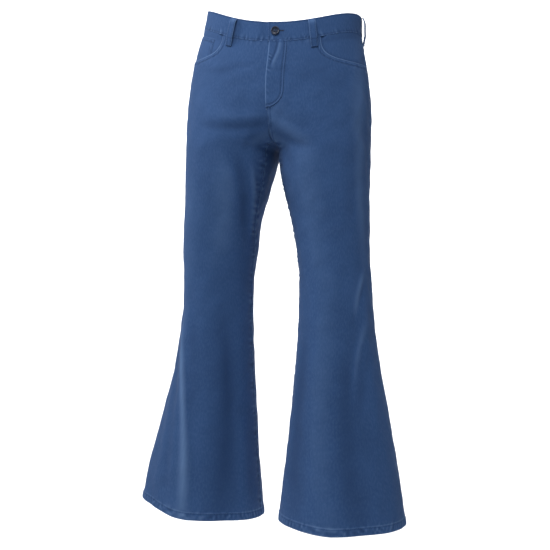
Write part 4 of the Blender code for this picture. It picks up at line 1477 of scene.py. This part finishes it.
class TROUSERS_OT_front_pockets(bpy.types.Operator):
    """Pocket facings and the coin pocket"""

    bl_idname = "trousers.front_pockets"
    bl_label = "Front pocket facings"

    def execute(self, context):
        for word, side in SIDES.items():
            sheet = pocket_facing(side)
            name, cut = f"facing_cloth_{word}", (sheet.points, sheet.wear_and_painted_light)
            sew_on(name, f"pocket_facing_{word}", cut, "laid", (f"front_cloth_{word}",), (), side)
        coin = coin_pocket(RIGHT)
        lines = [coin.line_across(coin.down, offset * MM) for offset in (2.0, 8.0)]
        lines.append(coin.line_down(2 * MM, np.arange(1, 33), from_end=True))
        thread = topstitch("coin_pocket_stitches", lines)
        cut = coin.points, coin.wear_and_painted_light
        sew_on("coin_pocket_cloth", "coin_pocket", cut, "laid", ("facing_cloth_right",), (thread,), RIGHT)
        return {"FINISHED"}


class TROUSERS_OT_back_pockets(bpy.types.Operator):
    """Back patch pockets, double stitched round three sides and along the top"""

    bl_idname = "trousers.back_pockets"
    bl_label = "Back patch pockets"

    def execute(self, context):
        for word, side in SIDES.items():
            sheet = back_pocket(side)
            count = sheet.points.shape[1]
            middle = np.arange(1, sheet.points.shape[0] - 1)
            lines = []
            for offset in EDGES["patch"][-1]:
                lines += [sheet.line_down(offset * MM, middle, from_end) for from_end in (False, True)]
            lines += sheet.lines_along_foot("patch")
            lines.append(sheet.line_across(sheet.down, 12 * MM))
            thread = topstitch(f"back_pocket_stitches_{word}", lines)
            ends = [sheet.sample([1, 6], [column, column], 0.3 * MM) for column in (2, count - 3)]
            tack = lay_thread(f"back_pocket_bartacks_{word}", [zigzag(a, b, 1.8 * MM) for a, b in ends])
            name, cut = f"back_pocket_cloth_{word}", (sheet.points, sheet.wear_and_painted_light)
            sew_on(name, f"back_pocket_{word}", cut, "laid", (f"back_cloth_{word}",), (thread, tack), side)
        return {"FINISHED"}


class TROUSERS_OT_fly(bpy.types.Operator):
    """Fly lap with its curved topstitching and bartacks"""

    bl_idname = "trousers.fly"
    bl_label = "Fly"

    def execute(self, context):
        thread = topstitch("fly_stitches", fly_lines())
        foot = on_front(np.array([-2.5, 9.0]) * MM, np.array([FLY_END, FLY_END]) + 2 * MM, 1.6 * MM)
        bend = on_front(np.array([29.5, 33.5]) * MM, np.array([FLY_BEND, FLY_BEND]) - 14 * MM, 1.2 * MM)
        tack = lay_thread("fly_bartacks", [zigzag(*foot, 2.0 * MM), zigzag(*bend, 4.0 * MM)])
        sew_on("fly_cloth", "fly_placket", fly_placket(), "laid", ("front_cloth_left",), (thread, tack))
        return {"FINISHED"}


class TROUSERS_OT_waistband(bpy.types.Operator):
    """Waistband, lapped at the centre front, with its stitch rows and buttonhole"""

    bl_idname = "trousers.waistband"
    bl_label = "Waistband"

    def execute(self, context):
        points, wear_and_painted_light = waistband()
        shown = sum(BAND_COLUMNS[:3]) + 4
        down = run_of(points, 0)
        out = np.cross(np.gradient(points, axis=1), np.gradient(points, axis=0))
        out /= np.linalg.norm(out, axis=-1, keepdims=True)
        if np.sum(out[:, 40, :2] * points[:, 40, :2]) < 0:
            out = -out
        lifted = points + out * STITCH_LIFT
        columns = np.arange(1, shown)
        offsets = (2.4 * MM, float(down[-1, 0]) - 2.6 * MM)
        lines = [sample_grid(lifted, rows_at(down, columns, offset), columns) for offset in offsets]
        lines.append(sample_grid(lifted, np.linspace(1.5, 23.5, 20), np.full(20, 1.1)))
        thread = topstitch("waistband_stitches", lines)
        hole, slit = self.buttonhole(lifted)
        pieces = (thread, hole, slit)
        sew_on("waistband_cloth", "waistband", (points, wear_and_painted_light), "stretched", (), pieces, 0, 2.0 * MM)
        return {"FINISHED"}

    def buttonhole(self, lifted):
        """A satin-stitched keyhole that runs on past the button, with its slit laid as a near-black thread of
        painted shade.
        """
        across = run_of(lifted[12][None], 1)[0]
        start, end, half = BUTTON_OFFSET - 2 * MM, BUTTON_OFFSET + 21 * MM, 1.1 * MM
        row = rows_at(run_of(lifted, 0), [10], (WAIST_SEAM - BAND_TOP) / -2 - BUTTON_RAISE)[0]
        rows_per_metre = 1 / np.linalg.norm(lifted[13, 10] - lifted[12, 10])
        satin, slit = [], []
        for place in np.arange(start, end, 0.36 * MM):
            column = np.interp(place, across, np.arange(across.size))
            for sign in (-1, 1):
                reach = sign * np.array((0.15, half)) * (rows_per_metre * np.array((MM, 1)))
                satin.append(sample_grid(lifted, row + reach, [column, column]))
            slit.append(sample_grid(lifted, [row], [column])[0])
        column = np.interp(end, across, np.arange(across.size))
        low, high = sample_grid(lifted, row + np.array((-1, 1)) * half * rows_per_metre, [column, column])
        satin.append(zigzag(low, high, 1.6 * MM, 0.4 * MM))
        thread = lay_thread("buttonhole_thread", satin, 0.38 * MM)
        # Painted shade: a near-black thread laid along the slit stands for the shade in the cut
        gap = lay_thread("buttonhole_slit_shade", [np.array(slit)], 0.9 * MM)
        # The satin gets the same dark material, partly as its thread colour and partly as painted shade
        for piece in (thread, gap):
            piece.data.materials.clear()
            piece.data.materials.append(bpy.data.materials["dark_thread_and_slit_shade"])
        return thread, gap


class TROUSERS_OT_belt_loops(bpy.types.Operator):
    """Five belt loops with edge stitching and bartacks"""

    bl_idname = "trousers.belt_loops"
    bl_label = "Belt loops"

    def execute(self, context):
        loops = []
        for word, side in SIDES.items():
            loops.append((f"front_{word}", side, FRONT_LOOP_TURN[side], FRONT_LOOP_LEAN))
        loops += [(f"side_{word}", side, SIDE_LOOP_TURN, 0.0) for word, side in SIDES.items()]
        loops.append(("back", LEFT, -90.0, 0.0))
        for name, side, turn, lean in loops:
            points, wear_and_painted_light = belt_loop(side, turn, lean)
            rows, tacks = loop_lines(points)
            thread = topstitch(f"loop_stitches_{name}", rows)
            tack = lay_thread(f"loop_bartacks_{name}", tacks)
            # Painted shade: the side loops are coloured darker, standing for the shade on their edge-on faces
            wear_and_painted_light = wear_and_painted_light - SIDE_LOOP_SHADE * name.startswith("side")
            place = side * (name != "back"), LOOP_CLOTH
            pieces = ("waistband_cloth",), (thread, tack)
            sew_on(f"loop_cloth_{name}", f"belt_loop_{name}", (points, wear_and_painted_light), "folded", *pieces, *place)
        return {"FINISHED"}


class TROUSERS_OT_button(bpy.types.Operator):
    """Four-hole button, sewn on with two parallel bars of thread"""

    bl_idname = "trousers.button"
    bl_label = "Button"

    def execute(self, context):
        height = (BAND_TOP + WAIST_SEAM) / 2 + BUTTON_RAISE
        turn = 90 - math.degrees((BUTTON_OFFSET - LAP) / BAND_HALF_WIDTH)
        seat, out = cloth(LEFT, np.array([turn]), np.array([height]), BAND_LIFT + 0.35 * MM)
        facing = Vector(out[0]).to_track_quat("Z", "Y").to_matrix().to_4x4()
        place = Matrix.Translation(Vector(seat[0])) @ facing
        radius, tall = BUTTON_RADIUS, BUTTON_HEIGHT
        mesh = bmesh.new()
        line = [mesh.verts.new((r * radius, 0, z * tall)) for r, z in BUTTON_PROFILE]
        edges = [mesh.edges.new(pair) for pair in zip(line[:-1], line[1:])]
        bmesh.ops.spin(mesh, geom=line + edges, axis=(0, 0, 1), cent=(0, 0, 0), steps=56, angle=2 * math.pi)
        bmesh.ops.remove_doubles(mesh, verts=mesh.verts, dist=0.00001)
        bmesh.ops.recalc_face_normals(mesh, faces=mesh.faces)
        body = bpy.data.meshes.new("button_body")
        mesh.to_mesh(body)
        mesh.free()
        button = own_object("button_body", body, bpy.data.materials["dark_resin"])
        holes = bmesh.new()
        spread, bore = radius * 0.24, radius * 0.115
        for x in (-1, 1):
            for y in (-1, 1):
                move = Matrix.Translation((x * spread, y * spread, tall / 2))
                size = {"radius1": bore, "radius2": bore, "depth": tall * 2}
                bmesh.ops.create_cone(holes, cap_ends=True, segments=18, matrix=move, **size)
        drill = bpy.data.meshes.new("button_drill")
        holes.to_mesh(drill)
        holes.free()
        cutter = own_object("button_drill", drill, bpy.data.materials["dark_resin"])
        cut = button.modifiers.new("Holes", "BOOLEAN")
        cut.operation = "DIFFERENCE"
        cut.object = cutter
        drilled = applied(button)
        button.data = drilled
        bpy.data.objects.remove(cutter, do_unlink=True)
        drilled.transform(place)
        drilled.set_sharp_from_angle(angle=math.radians(40))
        threads = []
        for x in (-1, 1):
            for strand in (-0.22, 0.22):
                arch = [
                    place @ Vector((x * spread + strand * MM, y * spread, tall * (0.45 + 0.28 * (1 - y * y))))
                    for y in np.linspace(-1, 1, 9)
                ]
                threads.append(np.array(arch))
        thread = lay_thread("button_threads", threads, 0.5 * MM)
        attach(button, "root")
        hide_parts("waist_button")
        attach(thread, "root")
        return {"FINISHED"}


class TROUSERS_PT_sidebar(bpy.types.Panel):
    """The trousers' pieces, in the order in which they are made"""

    bl_idname = "TROUSERS_PT_sidebar"
    bl_label = "Trousers"
    bl_space_type = "VIEW_3D"
    bl_region_type = "UI"
    bl_category = "Trousers"

    def draw(self, context):
        for name in TrousersSettings.__annotations__:
            self.layout.prop(context.scene.trousers, name)
        for step in STEPS:
            self.layout.operator(step.bl_idname)


STEPS = (
    TROUSERS_OT_studio,
    TROUSERS_OT_fronts,
    TROUSERS_OT_backs,
    TROUSERS_OT_front_pockets,
    TROUSERS_OT_back_pockets,
    TROUSERS_OT_fly,
    TROUSERS_OT_waistband,
    TROUSERS_OT_belt_loops,
    TROUSERS_OT_button,
)


def register():
    for kind in (TrousersSettings, *STEPS, TROUSERS_PT_sidebar):
        bpy.utils.register_class(kind)
    bpy.types.Scene.trousers = PointerProperty(type=TrousersSettings)


def unregister():
    del bpy.types.Scene.trousers
    for kind in (TROUSERS_PT_sidebar, *reversed(STEPS), TrousersSettings):
        bpy.utils.unregister_class(kind)


def main():
    register()
    bpy.ops.trousers.studio()
    bpy.ops.trousers.fronts()
    bpy.ops.trousers.backs()
    bpy.ops.trousers.front_pockets()
    bpy.ops.trousers.back_pockets()
    bpy.ops.trousers.fly()
    bpy.ops.trousers.waistband()
    bpy.ops.trousers.belt_loops()
    bpy.ops.trousers.button()


if __name__ == "__main__":
    main()
